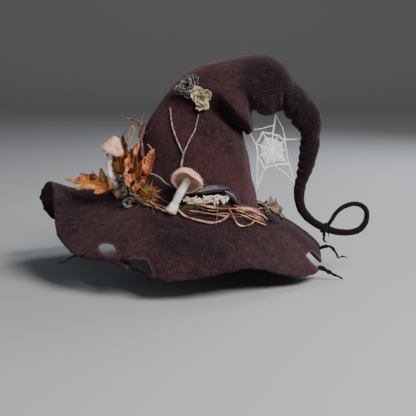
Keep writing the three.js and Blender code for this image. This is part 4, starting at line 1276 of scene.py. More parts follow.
# ------------------------------------------------------------------ vine, twigs and thread
def cane(clay, line, radius, seed, places=None, wander=0.0, tip=0.5):
    """A run of peeled vine: slightly oval, pinched at its nodes, thinning to both ends."""
    line = np.asarray(line, float)
    places = places or max(24, int(line_length(line) / 1.4))
    line = even(line, places)
    share = np.linspace(0, 1, places)
    if wander:
        shift = swaying(line, 16, seed)
        line = line + wander * shift * np.sin(math.pi * share)[:, None]
    node = np.abs(np.sin(math.pi * (share * line_length(line) / 23 + seed * 0.37)))
    swell = 1 + 0.1 * drift(line, 9, seed) + 0.22 * np.exp(-((node / 0.16) ** 2))
    ends = tip + (1 - tip) * np.sin(math.pi * np.clip(share, 0.02, 0.98)) ** 0.35
    rings = tube(line, radius * swell * ends, 10, flat=0.88, twist=1.3)
    rings = lumpy(rings, 0.07, 1.6, seed + 4)
    mark = np.zeros((places, 10, 3))
    mark[..., 0] = np.clip(drift(rings, 13, seed + 6) * 1.3 - 0.1, 0, 1)
    mark[..., 2] = drift(np.array([seed * 1.7, 0.3, 0.9]), 1.0, 3)
    clay.loft(rings, mark)


RUNS = {
    "vine_loop": (
        1, [(-15, 1, 7), (-8, -2, 4), (4, -6, 3), (16, -9, 3), (30, -11, 3), (42, -9, 3), (52, -6, 6)]
    ),
    "vine_inner": (1, [(-4, 12, 7), (8, 11, 10), (20, 4, 10), (32, 2, 9), (44, 1, 8), (54, 1, 8)]),
    "vine_gold": (0.7, [(46, 2, 13), (55, -8, 7), (62, -15, 3), (70, -18, 3), (78, -18, 3), (86, -15, 3)]),
    "vine_outer": (1, [(58, 4, 5), (68, 0, 6), (78, -5, 6), (90, -11, 6), (100, -17, 4)]),
    "vine_upper": (0.8, [(57, -3, 7), (66, -7, 8), (76, -11, 7), (88, -16, 6), (98, -20, 4)]),
    "vine_front": (0.7, [(-76, 16, 10), (-65, 12, 9), (-52, 8, 8), (-40, 4, 6), (-31, 1, 4)]),
}
# More canes in the same runs: thickness, and how the first one's places are moved.
MORE = {
    "vine_inner": [(0.6, (-3, -2.2, -2), 1), (0.42, (4, 1.8, -3), 2)],
    "vine_outer": [
        (0.85, (-3, 3, 0), 1), (0.7, (2, -3.2, 1.5), 2), (0.5, (0, 5.5, -1), 3),
        (0.55, (-6, -1, 2.6), 4)
    ],
    "vine_upper": [(0.75, (-2, 2.4, 1), 1), (0.6, (2, -2.8, -1), 2)],
    "vine_front": [(0.6, (0, 3.0, 0), 1)],
}
# The slot of each run that isn't vine.
STRAW_RUNS = {"vine_gold": "straw", "vine_upper": "straw"}


def add_vines(settings, vine, straw, cotton):
    """The wreath: a ring of twisted canes all round the foot, and loose runs on the trimmed side."""
    radius = settings.vine_radius / MM
    clay = Clay()
    degrees = np.linspace(0, 360, 400, endpoint=False)
    # The ring is thin where the loose runs cover it.
    slim = 1 - 0.5 * np.exp(-(((degrees - 85) / 38) ** 2))
    for strand, (thick, swing) in enumerate(((1.0, 1.3), (0.75, 1.9), (0.62, 2.4))):
        phase = np.radians(degrees * (5 + strand)) + strand * TURN / 3
        line = foot(degrees, 6.2 + swing * np.cos(phase), 3.6 + swing * np.sin(phase))
        line = np.concatenate([line, line[:1]])
        line += 0.8 * swaying(line, 19, 200 + strand * 5)
        line[-1] = line[0]
        swollen = radius * thick * slim * (1 + 0.12 * drift(line[:-1], 8, 220))
        rings = lumpy(tube(line[:-1], swollen, 9), 0.08, 1.8, 230)
        mark = np.zeros((*rings.shape[:2], 3))
        mark[..., 0] = np.clip(drift(rings, 13, 240 + strand), 0, 1)
        # Painted shade: the whole ring is darkened where it sits at the crown's foot.
        mark[..., 1] = 0.35
        mark[..., 2] = strand * 0.7 - 0.7
        clay.loft(rings, mark, loop=True)
    clay.piece("vine_ring_canes", vine, "vine", stands_for=("vine_ring",))
    for seed, (name, (thick, places)) in enumerate(RUNS.items()):
        clay = Clay()
        cane(clay, on_felt(places), thick * radius, 300 + seed * 20, wander=0.8)
        for share, shift, step in MORE.get(name, ()):
            moved = np.array(places, float) + shift
            moved[:, 2] = np.maximum(moved[:, 2], 2)
            cane(clay, on_felt(moved), share * radius, 300 + seed * 20 + step, wander=1.8)
        finish = straw if name == "vine_gold" else vine
        clay.piece(name + "_canes", finish, STRAW_RUNS.get(name, "vine"), stands_for=(name,))
    clay = Clay()
    tie = even(on_felt([(33, 6, 1), (33, 0, 12), (34, -8, 8), (34, -13, 1)]), 60)
    for ply in (0, math.pi):
        phase = np.linspace(0, 14 * TURN, 60) + ply
        _, side, across = frames(tie)
        twisted = tie + 0.15 * (np.cos(phase)[:, None] * side + np.sin(phase)[:, None] * across)
        clay.rod(twisted, 0.18, 6)
    clay.piece("stitch_thread", cotton, "cotton", stands_for=("stitch",))


def twig(clay, line, thick, thin, seed, spurs=0):
    """A dry twig with knuckles, bark that swells and narrows, and short broken spurs."""
    line = np.asarray(line, float)
    places = max(16, int(line_length(line) / 1.3))
    line = even(line, places)
    line += 0.35 * swaying(line, 6, seed)
    share = np.linspace(0, 1, places)
    knuckle = np.abs(np.sin(math.pi * (share * line_length(line) / 11 + seed * 0.31)))
    radius = (thick + (thin - thick) * share) * (1 + 0.35 * np.exp(-((knuckle / 0.2) ** 2)))
    radius *= np.clip((1 - share) / 0.03, 0.3, 1)
    rings = lumpy(tube(line, radius, 8), 0.16, 1.4, seed + 4)
    mark = np.zeros((*rings.shape[:2], 3))
    mark[..., 0] = np.clip(drift(rings, 3, seed + 7) * 1.2, 0, 1)
    clay.loft(rings, mark)
    rng = np.random.default_rng(seed)
    ahead, side, across = frames(line)
    for spot in rng.integers(places // 6, places - 3, spurs):
        turn = rng.uniform(0, TURN)
        out = unit(ahead[spot] * 0.8 + np.cos(turn) * side[spot] + np.sin(turn) * across[spot])
        reach = rng.uniform(1.6, 3.6)
        clay.rod(line[spot] + out * np.linspace(0, reach, 5)[:, None], np.linspace(0.6, 0.25, 5) * thin, 6)


def add_twigs(bark, root):
    """The forked twig up the crown, the crossing twig, the pale one and the dark red root."""
    clay = Clay()
    twig(clay, on_felt([(-11, 57, 2.0), (-10, 67, 1.9), (-8, 77, 2.0)]), 1.6, 1.4, 400, 2)
    left = on_felt([(-8, 76, 2.0), (-12, 84, 1.9), (-19, 99, 1.9), (-23, 112, 2), (-26, 136, 2)])
    right = on_felt([(-8, 76, 2.0), (-4, 86, 1.9), (0, 95, 1.9), (6, 105, 2), (12, 127, 2)])
    twig(clay, left, 1.3, 0.75, 410, 5)
    twig(clay, right, 1.3, 0.8, 420, 5)
    clay.piece("twig_forked_bark", bark, "twig", stands_for=("twig_forked",))
    clay = Clay()
    twig(clay, on_felt([(-50, 48, 12), (-40, 45, 9), (-29, 37, 7), (-17, 32, 6)]), 1.1, 0.7, 430, 3)
    clay.piece("twig_cross_bark", bark, "twig", stands_for=("twig_cross",))
    clay = Clay()
    twig(clay, on_felt([(-53, 84, 6), (-47, 78, 6), (-48, 71, 7), (-51, 61, 9)]), 1.1, 0.7, 440, 2)
    clay.piece("twig_pale_bark", bark, "twig", stands_for=("twig_pale",))
    clay = Clay()
    fork = np.array([-65, -19, 108.0])
    stem = [*on_felt([(-55, 66, 12), (-59, 87, 9), (-62, 96, 7)]), fork]
    twig(clay, stem, 2.7, 1.9, 450, 2)
    tips = (
        ([(-71, -20, 114), (-76, -20, 117), (-85, -20, 119), (-96, -20, 123)], 1.8, 0.6),
        ([(-67, -20, 113), (-66, -21, 118), (-63, -20, 124)], 1.1, 0.4),
        ([(-62, -22, 112), (-57, -23, 117), (-56, -24, 121)], 1.0, 0.4),
        ([(-72, -22, 110), (-80, -24, 113), (-84, -25, 111)], 1.0, 0.4),
        ([(-60, -24, 100), (-55, -27, 103), (-52, -29, 109)], 1.1, 0.4),
    )
    for seed, (places, thick, thin) in enumerate(tips):
        start = fork if seed < 4 else np.array(stem[2])
        twig(clay, [start, *np.array(places, float)], thick, thin, 460 + 10 * seed, 1)
    clay.piece("root_red_bark", root, "red_root", stands_for=("root_red",))


def add_web(settings, cotton):
    """A crocheted web: doubled guys and frame, radials, and a spiral that sags towards the hub."""
    radius = settings.radius / MM
    rng = np.random.default_rng(500)
    hub = np.array([113, 74.0])
    knots = np.array([
        (131, 88), (121, 94.5), (113, 97), (99, 99), (90, 82), (92, 64), (102, 47), (116, 52),
        (137, 53), (133, 73),
    ], float)
    clay = Clay()

    def thread(places, thick=1.0, sag=0.0, depth=0.0):
        places = np.array(places, float)
        share = np.linspace(0, 1, 26)
        ends = np.linspace(0, 1, len(places))
        line = np.stack([np.interp(share, ends, places[:, k]) for k in (0, 1)], axis=1)
        line += unit(hub - line) * (sag * np.sin(math.pi * share))[:, None]
        line = np.insert(line, 1, 0, axis=1)
        line[:, 1] = depth + 0.3 * drift(line, 9, 510)
        beads = 1 + 0.14 * np.cos(share * line_length(line) / 0.9 * TURN / 2)
        clay.rod(line, radius * thick * beads, 7, twist=3)

    count = len(knots)
    for knot, following in zip(knots, np.roll(knots, -1, axis=0)):
        thread([hub, knot], 0.9)
        thread([knot, following], 0.95, sag=0.8)
        thread([knot, following], 0.65, sag=2.4, depth=0.5)
    spokes = settings.turns * count
    reach = np.linspace(0.1, 0.78, spokes + 1) + rng.normal(0, 0.006, spokes + 1)
    for i in range(spokes):
        a = hub + (knots[i % count] - hub) * reach[i]
        b = hub + (knots[(i + 1) % count] - hub) * reach[i + 1]
        thread([a, b], 0.85, sag=0.11 * float(np.linalg.norm(b - a)))
        wound = np.insert(a, 1, 0) + np.linspace(-0.7, 0.7, 5)[:, None] * (0.3, 1, 0.2)
        clay.rod(wound, radius * np.array([0.5, 1.2, 1.5, 1.2, 0.5]), 6)
    guys = (
        [(113, 97), (115, 108), (117, 124.5)], [(115, 108), (97, 103), (80.5, 101)],
        [(131, 88), (127, 104), (117, 122)],
        [(131, 88), (142, 88), (152.5, 89)], [(137, 53), (141, 38), (145.5, 25)],
        [(116, 52), (130, 43), (145.5, 27)],
        [(102, 47), (96, 32), (89.5, 15)], [(92, 64), (92, 44), (91.5, 23)],
        [(90, 82), (85, 91), (80.5, 101)],
    )
    for i, places in enumerate(guys):
        thread(places, 0.85)
        if i in (0, 3, 4, 6, 7):
            thread([np.add(place, (1.3, 0.5)) for place in places], 0.6, depth=0.7)
    clay.piece("spider_web_threads", cotton, "cotton", stands_for=("spider_web",))


# ------------------------------------------------------------------ mushrooms
def felted_mushroom(name, settings, line, radius, bulb, cap_radius, cap_height, axis, droop, seed, wool):
    """A needle-felted mushroom: a bulbed stem, and a cap with gills under a rolled rim."""
    stem_wool, cap_wool = wool
    axis = unit(axis)
    line = np.array(line, float)
    top = line[-1]
    stem = Clay()
    places = even([*line[:-1], top + axis * 0.2 * cap_height], 60)
    share = np.linspace(0, 1, 60)
    thick = radius * (1 + (bulb - 1) * np.exp(-((share / 0.16) ** 2)) + 0.22 * smooth(share, 0.75, 1))
    thick *= np.sqrt(np.clip(1 - ((0.04 - share) / 0.04).clip(0) ** 2, 0.05, 1))
    rings = lumpy(tube(places, thick, 28), 0.2, 7, seed)
    rings = lumpy(rings, 0.09, 2.2, seed + 1)
    mark = np.zeros((*rings.shape[:2], 3))
    # Darker patches of wool, and painted shade at the foot of the stem where it stands on the brim.
    mark[..., 0] = 0.5 * np.clip(drift(rings, 7, seed + 2) + 0.6 * (share < 0.18)[:, None], 0, 1)
    stem.loft(rings, mark)
    stem_piece = stem.piece(name + "_stem_wool", stem_wool, "mushroom_stem", stands_for=(name + "_stem",))

    # Profile from the top round the rim and under to the stem: radius, height, and share of gill.
    profile = np.array([
        (0.0, 1.0, 0), (0.2, 0.985, 0), (0.42, 0.9, 0), (0.66, 0.73, 0), (0.86, 0.48, 0), (0.98, 0.2, 0),
        (1.02, 0.02, 0), (0.97, -0.1, 0), (0.88, -0.09, 0.1), (0.8, 0.02, 0.9), (0.62, 0.12, 1),
        (0.42, 0.17, 1),
        (0.27, 0.2, 0.5), (0.1, 0.22, 0),
    ])
    if droop:
        profile[:6, 1] = (1.0, 0.95, 0.79, 0.55, 0.32, 0.12)
        profile[:6, 0] = (0.0, 0.2, 0.44, 0.66, 0.84, 0.98)
    places = spline(profile, np.linspace(0.012, 1, 90))
    around = 4 * settings.gills
    angle = turns_of(around)
    flat = np.stack([np.cos(angle), np.sin(angle)], axis=1)
    uneven = 1 + (0.06 if droop else 0.13) * drift(np.insert(flat, 2, 0, axis=1), 0.9, seed + 3)
    ridge = np.abs(np.sin(angle * settings.gills / 2)) - 0.5
    wave = 0.02 if droop else 0.09
    frame = basis((0, 0, 0), axis, (0, -1, 0))
    foot_at = top - axis * 0.3 * cap_height
    rings, marks = [], []
    for reach, height, gill in places:
        ring = np.insert(flat * (cap_radius * reach * uneven)[:, None], 2, cap_height * height, axis=1)
        ring[:, 2] -= gill * 2.2 * ridge
        ring[:, 2] += wave * cap_height * reach * (np.sin(angle * 2 + seed) + 0.7 * np.sin(angle * 3 + 2))
        ring = foot_at + ring[:, :1] * frame[0] + ring[:, 1:2] * frame[2] + ring[:, 2:] * frame[1]
        mark = np.zeros((around, 3))
        # Gill tone and painted shade under the cap: the gills go over to the shadow colour, darker still
        # along their ridges.
        mark[:, 0] = 0.6 * gill
        mark[:, 1] = np.clip(gill * (0.7 * ridge + 0.1), 0, 1)
        rings.append(ring)
        marks.append(mark)
    rings = np.array(rings)
    centre = foot_at + axis * 0.4 * cap_height
    out = unit(rings - centre)
    hairy = 1.0 * drift(rings, 6, seed + 5) + 0.5 * drift(rings, 2.1, seed + 6)
    hairy *= 1 - 0.8 * places[:, 2][:, None]
    rings = rings + out * hairy[..., None]
    cap = Clay()
    cap.loft(rings, np.concatenate(marks))
    cap_piece = cap.piece(name + "_cap_wool", cap_wool, "mushroom_cap", stands_for=(name + "_cap",))
    return stem_piece, cap_piece


def add_mushrooms(settings, stem_wool, cap_wool):
    wool = (stem_wool, cap_wool)
    big = felted_mushroom(
        "mushroom_big", settings, [(-25, -99, 3), (-20, -98, 13), (-11, -97, 30), (-2, -94, 46)],
        4.7, 1.65, 19.5, 16, (0.19, 0.75, 0.64), False, 600, wool,
    )
    slim = felted_mushroom(
        "mushroom_slim", settings,
        [
            (-86, -53, 20), (-95, -55, 31), (-103, -56, 40), (-107, -57, 50), (-108, -57, 60),
            (-106, -57, 70), (-102, -57, 85)
        ],
        2.9, 1.2, 14.6, 19.5, (0.3, -0.08, 0.95), True, 620, wool,
    )
    rng = np.random.default_rng(640)
    for name, slot, finish, pieces, count in (
        ("mushroom_cap_fuzz", "mushroom_cap", cap_wool, (big[1], slim[1]), 1500),
        ("mushroom_stem_fuzz", "mushroom_stem", stem_wool, (big[0], slim[0]), 1100),
    ):
        clay = Clay()
        for piece in pieces:
            add_fibres(clay, piece, count, 3.6, 0.11, rng, lift=1.9)
        clay.piece(name, finish, slot)


# ------------------------------------------------------------------ leaves
def lobed(length, size, seed):
    """The outline of a five-lobed leaf with its stalk end at the origin, and its veins.

    size is its spread and how far out its valleys lie, as shares of its length.
    """
    spread, valley = size
    outline, veins = [(0.03, -0.02)], []
    lobes = ((-66, 0.62), (-34, 0.88), (0, 1), (34, 0.88), (66, 0.62))
    for i, (degrees, reach) in enumerate(lobes):
        half = ((13, 0.62), (10, 0.74), (8, 0.72), (4, 0.86))
        for turned, share in (*((-a, b) for a, b in half), (0, 1), *half[::-1]):
            angle = math.radians(degrees + turned)
            r = share * reach
            outline.append((r * math.sin(angle), 0.12 + 0.88 * r * math.cos(angle)))
        if i < 4:
            angle = math.radians(degrees + 17)
            outline.append((valley * math.sin(angle), 0.12 + 0.88 * valley * math.cos(angle)))
        angle = math.radians(degrees)
        tip = np.array((0.96 * reach * math.sin(angle), 0.12 + 0.845 * reach * math.cos(angle)))
        base = np.array((0, 0.1))
        veins.append((base, tip))
        for share, side in ((0.42, 1), (0.5, -1), (0.64, 1), (0.7, -1)):
            spot = base + (tip - base) * share
            turned = math.radians(degrees + 38 * side)
            veins.append((spot, spot + 0.17 * reach * np.array((math.sin(turned), math.cos(turned)))))
    scale = np.array((spread * length, length))
    outline = spacing_along(np.array(outline[::-1]) * scale, 1.1)
    jag = 0.45 * drift(np.insert(outline, 2, seed, axis=1), 2.3, seed)
    outline = outline + unit(outline - (0, length * 0.4)) * jag[:, None]
    return outline, [(a * scale, b * scale) for a, b in veins]


def pointed(length, width, seed):
    """The outline of a pointed oval leaf, and its veins."""
    edge = [(0, 0), (0.35, 0.12), (0.5, 0.35), (0.42, 0.62), (0.2, 0.86), (0, 1)]
    outline = [(x * width, y * length) for x, y in edge] + [
        (-x * width, y * length) for x, y in edge[-2:0:-1]
    ]
    outline = spacing_along(np.array(outline), 1.0)
    outline = outline + 0.3 * drift(np.insert(outline, 2, seed, axis=1), 1.9, seed)[:, None]
    veins = [(np.zeros(2), np.array((0, length)))]
    for share in np.linspace(0.12, 0.75, 6):
        spot = np.array((0, share * length))
        veins += [(spot, spot + np.array((side * 0.36 * width, 0.13 * length))) for side in (1, -1)]
    return outline, veins


def gap_to(points, segments):
    """The distance from each flat point to the nearest of some segments."""
    best = np.full(len(points), 1e9)
    for a, b in segments:
        run = b - a
        share = np.clip((points - a) @ run / (run @ run), 0, 1)
        best = np.minimum(best, np.linalg.norm(points - a - share[:, None] * run, axis=1))
    return best


def add_leaf(name, thickness, finish, slot, line, shape, size, facing, bent, seed, holes=(), stalk=0):
    """A dried leaf with raised veins, a cupped and crumpled blade and a torn margin."""
    start, end = np.array(line, float)
    cup, curl, crumple = bent
    length = float(np.linalg.norm(end - start))
    outline, veins = shape(length, size, seed)
    flat, triangles = filled(outline, 1.35, holes)
    frame = basis(start, end, facing)
    vein = np.exp(-((gap_to(flat, veins) / 0.5) ** 2))
    near_edge = np.array([np.linalg.norm(outline - p, axis=1).min() for p in flat])
    spot = np.insert(flat, 2, 10 * seed, axis=1)
    folds = gap_to(flat, veins[::5] if shape is lobed else veins[:1])
    height = cup * flat[:, 0] ** 2 / length + curl * flat[:, 1] * (length - flat[:, 1]) / length
    height += crumple * (drift(spot, 15, seed) + 0.45 * drift(spot, 6, seed + 1))
    height += 0.22 * crumple * np.minimum(folds, 6)
    height += 0.9 * crumple * np.exp(-near_edge / 2.2) * drift(spot, 7, seed + 2)
    height += 0.55 * vein

    def place(points):
        local = points + 0.5 * crumple * swaying(spot, 12, seed + 3)[:, :2]
        return start + np.column_stack([local, height]) @ frame

    mark = np.zeros((len(flat), 3))
    mark[:, 0] = 0.75 * vein
    mark[:, 1] = 0.55 * np.exp(-near_edge / 0.8) + 0.45 * smooth(drift(spot, 5, seed + 5), 0.35, 0.8)
    mark[:, 2] = 0.9 * drift(spot, 11, seed + 6)
    clay = Clay()
    clay.sheet(flat, triangles, place, thickness, mark)
    if stalk:
        steps = ((0, 2, -0.4), (0, -0.4 * stalk, 1), (0.25 * stalk, -stalk, 0))
        clay.rod(
            even([start + step @ frame for step in np.array(steps)], 14), np.linspace(0.75, 0.6, 14), 7,
            (0.8, 0, 0)
        )
    node, kind = name.rsplit("_", 1)
    clay.piece(name, finish, slot, stands_for=(node,) if kind == "blade" else ())


def add_leaves(settings, ochre, rust, orange, yellow, pink, grey, frosted):
    # Piece, finish, slot, stalk end and tip, outline and its size, the way it faces, how far it is
    # cupped, curled and crumpled, and its seed; then any holes and the stalk's length.
    rows = (
        ("leaf_ochre_blade", ochre, "ochre_leaf", [(-90, -40, 34), (-86, -38, 106)], lobed, (0.6, 0.6),
         (-0.35, -0.93, 0.1), (0.9, 0.1, 4.4), 700),
        ("leaf_rust_blade", rust, "rust_leaf", [(-73, -58, 22), (-68, -52, 93)], lobed, (0.44, 0.5),
         (-0.25, -0.96, 0.1), (1.4, 0.3, 6.5), 710, [(-5, 30, 3.6), (7, 20, 2.4)], 6),
        ("leaf_rust_side_blade", rust, "rust_leaf", on_felt([(-53, 44, 9), (-41, 80, 10)]), pointed, 17,
         (-0.3, -0.93, 0.15), (1.6, 0.4, 4.2), 720),
        ("leaf_orange_blade", orange, "orange_leaf", [(-104, -42, 24), (-170, -36, 34)], lobed,
         (0.48, 0.76), (0.1, -0.66, 0.75), (0.5, 0.25, 3.6), 730, (), 12),
        ("leaf_yellow_blade", yellow, "ochre_leaf", [(-112, -36, 28), (-123, -36, 54)], pointed, 11,
         (-0.2, -0.95, 0.2), (0.5, 0.2, 2.2), 740),
        ("leaf_yellow_second", yellow, "ochre_leaf", [(-108, -38, 26), (-110, -38, 50)], pointed, 10,
         (0.2, -0.95, 0.2), (0.7, 0.2, 2.2), 745),
        ("leaf_pink_blade", pink, "pink_leaf", [(-99, -62, 16), (-85, -60, 40)], pointed, 12,
         (-0.3, -0.9, 0.3), (1.6, 0.3, 2.4), 750),
        ("leaf_grey_blade", grey, "grey_leaf", on_felt([(86, -4, 12), (122, -27, 10)]), pointed, 22,
         (0.1, -0.75, 0.65), (-1.3, 0.35, 4.6), 760),
        ("leaf_grey_second", grey, "grey_leaf", on_felt([(92, -10, 18), (121, -27, 14)]), pointed, 15,
         (0.3, -0.85, 0.4), (-1.3, 0.5, 4.2), 765),
        ("leaf_grey_upright_blade", grey, "grey_leaf", [(113, -20, -14), (110, -18, 13)], pointed, 8,
         (0.2, -1, 0.1), (1.4, 0.2, 2.2), 770),
        ("leaf_grey_spike", grey, "grey_leaf", [(119, -20, -16), (118, -19, 9)], pointed, 6,
         (-0.2, -1, 0.1), (1.4, 0.2, 2.0), 775),
    )
    for name, *row in rows:
        add_leaf(name, settings.thickness / MM, *row)
    clay = Clay()
    loop = [
        (-84, -42, 92), (-80, -46, 106), (-77, -48, 112), (-74, -48, 106), (-78, -47, 96),
        (-82, -48, 86)
    ]
    clay.rod(even(loop, 40), np.linspace(0.85, 0.6, 40), 8, (0.9, 0, 0))
    clay.piece("leaf_ochre_stalk", ochre, "ochre_leaf")
    rng = np.random.default_rng(780)
    clay = Clay()
    rosette(clay, rng, np.array([-81, -70, 11.0]), unit((-0.35, -0.9, 0.1)), 10.5, 11, 24, 9)
    clay.piece("sprig_leaf_frosted", frosted, "grey_leaf", stands_for=("sprig_leaf",))


# ------------------------------------------------------------------ berries, mosses and lichens
def rounded(clay, centre, radius, around, seed, wrinkle, mark=(0, 0, 0), squash=1.0):
    """A wrinkled ball about a place, in millimetres."""
    rings = []
    for lat in np.linspace(-math.pi / 2 + 0.05, math.pi / 2 - 0.05, around):
        turn = turns_of(2 * around)
        ring = np.stack([np.cos(turn), np.sin(turn), 0 * turn + math.tan(lat)], axis=1) * math.cos(lat)
        swell = 1 + wrinkle * drift(ring * radius, radius * 0.32, seed)
        rings.append(np.asarray(centre) + radius * ring * swell[:, None] * (1, 1, squash))
    clay.loft(rings, mark)


def add_berry(skin, bark):
    centre = np.array([-131, -34, 40.0])
    clay = Clay()
    rounded(clay, centre, 5.4, 30, 800, 0.07)
    rng = np.random.default_rng(801)
    for turn in np.arange(5) * TURN / 5:
        out = np.array((math.cos(turn) * 0.8, -0.35 + 0.1 * rng.random(), math.sin(turn) * 0.8))
        tip = centre + (-2, -5.2, 1.6) + 2.6 * out
        clay.rod(
            [centre + (-2, -4.6, 1.6), centre + (-2, -5.3, 1.6) + 1.4 * out, tip], [0.8, 0.55, 0.12], 6,
            (0.9, 0.6, 0)
        )
    clay.piece("berry_red_skin", skin, "berry", stands_for=("berry_red",))
    clay = Clay()
    line = [centre + (3, 0, -3), centre + (8, 0, -9), centre + (15, 1, -16)]
    twig(clay, line, 0.7, 0.9, 803, 1)
    clay.piece("berry_stalk", bark, "twig")


def outward_spines(clay, centre, axis, reach, count, rng, radius, length, spread):
    """Dry spines that spring from a seed head, curving as they dry."""
    axis = unit(axis)
    ways = unit(unit(rng.normal(size=(count, 3))) + axis * spread)
    start = centre + ways * reach
    run = length * rng.uniform(0.6, 1.15, (count, 1))
    bend = np.cross(ways, rng.normal(size=(count, 3))) * 2.2 * run * rng.random((count, 1))
    lines = [start + ways * run * share + bend * share**2 for share in np.linspace(0, 1, 6)]
    marks = own_marks(rng, count, (0.35, 0.3))
    strips(
        clay, np.stack(lines, axis=1), radius * np.array([1, 1.15, 1, 0.8, 0.5, 0.12]),
        rng.normal(size=(count, 3)), 4, marks
    )


def add_seeds(husk, needles):
    """The golden spiny seed head, and the dark needles above the frosted sprig."""
    rng = np.random.default_rng(810)
    centre = on_felt([(-49, 21, 7)])[0]
    clay = Clay()
    # The core among the spines is painted in shade.
    rounded(clay, centre, 5.2, 18, 811, 0.25, (0.2, 0.5, 0))
    outward_spines(clay, centre, (-0.45, -0.85, 0.25), 2.75, 420, rng, 0.42, 7.5, 0.6)
    clay.piece("seed_husk_spines", husk, "husk", stands_for=("seed_husk",))
    clay = Clay()
    shoots = (
        ((-72, 24, 22), (-0.15, -0.5, 1), 17), ((-66, 22, 20), (0.4, -0.5, 0.8), 14),
        ((-78, 24, 20), (-0.5, -0.4, 1), 14), ((-76, 14, 24), (-0.2, -0.8, -0.5), 13),
        ((-70, 14, 24), (0.3, -0.8, -0.4), 12), ((-82, 15, 22), (-0.6, -0.7, -0.3), 12),
    )
    for spot, lean, reach in shoots:
        root = on_felt([spot])[0]
        way = unit(lean)
        line = even([root, root + way * reach * 0.5 + (0, -1, 0), root + way * reach], 20)
        clay.rod(line, np.linspace(0.7, 0.35, 20), 6, (0, 0.2, 0))
        count = 120
        share = rng.uniform(0.1, 1, count)
        base = line[(share * 19).astype(int)]
        around = unit(rng.normal(size=(count, 3)))
        out = unit(way * 0.8 + unit(around - way * (around @ way)[:, None]) * 0.9)
        length = rng.uniform(2.6, 5.4, (count, 1))
        lines = [base + out * length * s + way * length * 0.3 * s**2 for s in (0, 0.35, 0.7, 1)]
        marks = own_marks(rng, count, (0.4, 0.75))
        strips(
            clay, np.stack(lines, axis=1), 0.4 * np.array([0.8, 1, 0.8, 0.15]),
            rng.normal(size=(count, 3)), 4, marks
        )
    clay.piece("sprig_needles_blades", needles, "needles", stands_for=("sprig_needles",))


def coral(clay, rng, start, way, length, radius, levels):
    """Branching rods of reindeer lichen, forking at every level."""
    way = unit(way)
    bend = unit(rng.normal(size=3)) * 0.3
    end = start + (way + bend * 0.5) * length
    line = even([start, start + way * length * 0.5 + bend * length * 0.25, end], 6)
    last = levels == 0
    thick = [0.9, 1, 1.1, 1.35, 1.3, 0.7] if last else np.linspace(1, 0.8, 6)
    clay.rod(line, radius * np.array(thick), 5, (0.3 * last, 0, rng.uniform(-1, 1)))
    if last:
        return
    for _ in range(3 if rng.random() < 0.45 else 2):
        fork = unit(way + 0.95 * unit(rng.normal(size=3)))
        coral(clay, rng, end, fork, length * rng.uniform(0.62, 0.85), radius * 0.78, levels - 1)


def tuft(clay, rng, places, reach, count, radius, rise):
    """Moss blades standing and leaning out of a row of cushions."""
    base = np.repeat(np.asarray(places, float), count, axis=0)
    sway = unit(rng.normal(size=(len(base), 3)))
    start = base + sway * reach * rng.random((len(base), 1)) ** 0.5 * 0.8
    way = unit(sway + np.array(rise))
    run = reach * rng.uniform(0.5, 1.1, (len(base), 1))
    curl = unit(rng.normal(size=(len(base), 3))) * 0.25
    lines = np.stack([start + (way + curl * s) * run * s for s in (0, 0.4, 0.75, 1)], axis=1)
    marks = own_marks(rng, len(base), (0.25, 0.5), (0.35, 0.45))
    strips(clay, lines, radius * np.array([1, 0.95, 0.7, 0.15]), rng.normal(size=(len(base), 3)), 3, marks)


def add_mosses(moss, lichen):
    """The moss cushion over the vine and the white branching lichen above it."""
    rng = np.random.default_rng(820)
    clay = Clay()
    row = np.array(
        [
            (-6, 3, 3), (-1, 4, 4), (5, 5, 4), (11, 5, 4), (17, 5, 4), (23, 5, 4), (29, 4, 4),
            (35, 4, 3.5), (41, 3, 3.5), (47, 2, 3)
        ],
        float
    )
    places = on_felt(row)
    for place, size in zip(places, (3.4, 4, 4.4, 4.6, 4.6, 4.5, 4.3, 4, 3.6, 3)):
        # Cushions under the blades, painted in shade.
        rounded(clay, place, size * 0.72, 14, 821, 0.3, (0, 0.5, 0))
    tuft(clay, rng, places, 4.2, 330, 0.17, (0, -0.5, 0.5))
    clay.piece("moss_pad_tufts", moss, "moss", stands_for=("moss_pad",))
    clay = Clay()
    for x in np.concatenate([np.arange(1, 18, 2.6), np.arange(20, 47, 1.9)]):
        root = on_felt([(x, 15.5 + rng.uniform(-2.5, 4), rng.uniform(3, 8))])[0]
        # A ball at the foot of each clump, painted in shade.
        rounded(clay, root, rng.uniform(1.6, 2.6), 9, 825, 0.35, (0, 0.25, 0))
        for _ in range(4):
            way = np.array((rng.normal(0, 0.7), -0.8, rng.normal(0.3, 0.6)))
            coral(clay, rng, root + rng.normal(0, 1, 3), way, 2.2, 0.85, 2)
    clay.piece("lichen_white_branches", lichen, "lichen", stands_for=("lichen_white",))
    clay = Clay()
    root = on_felt([(-4, 18, 4)])[0]
    for _ in range(5):
        coral(
            clay, rng, root + rng.normal(0, 1.2, 3), (rng.normal(0, 0.5), -0.7, rng.normal(0.4, 0.5)),
            2.6, 0.66, 3
        )
    clay.piece("lichen_stem_branches", lichen, "lichen", stands_for=("lichen_stem",))


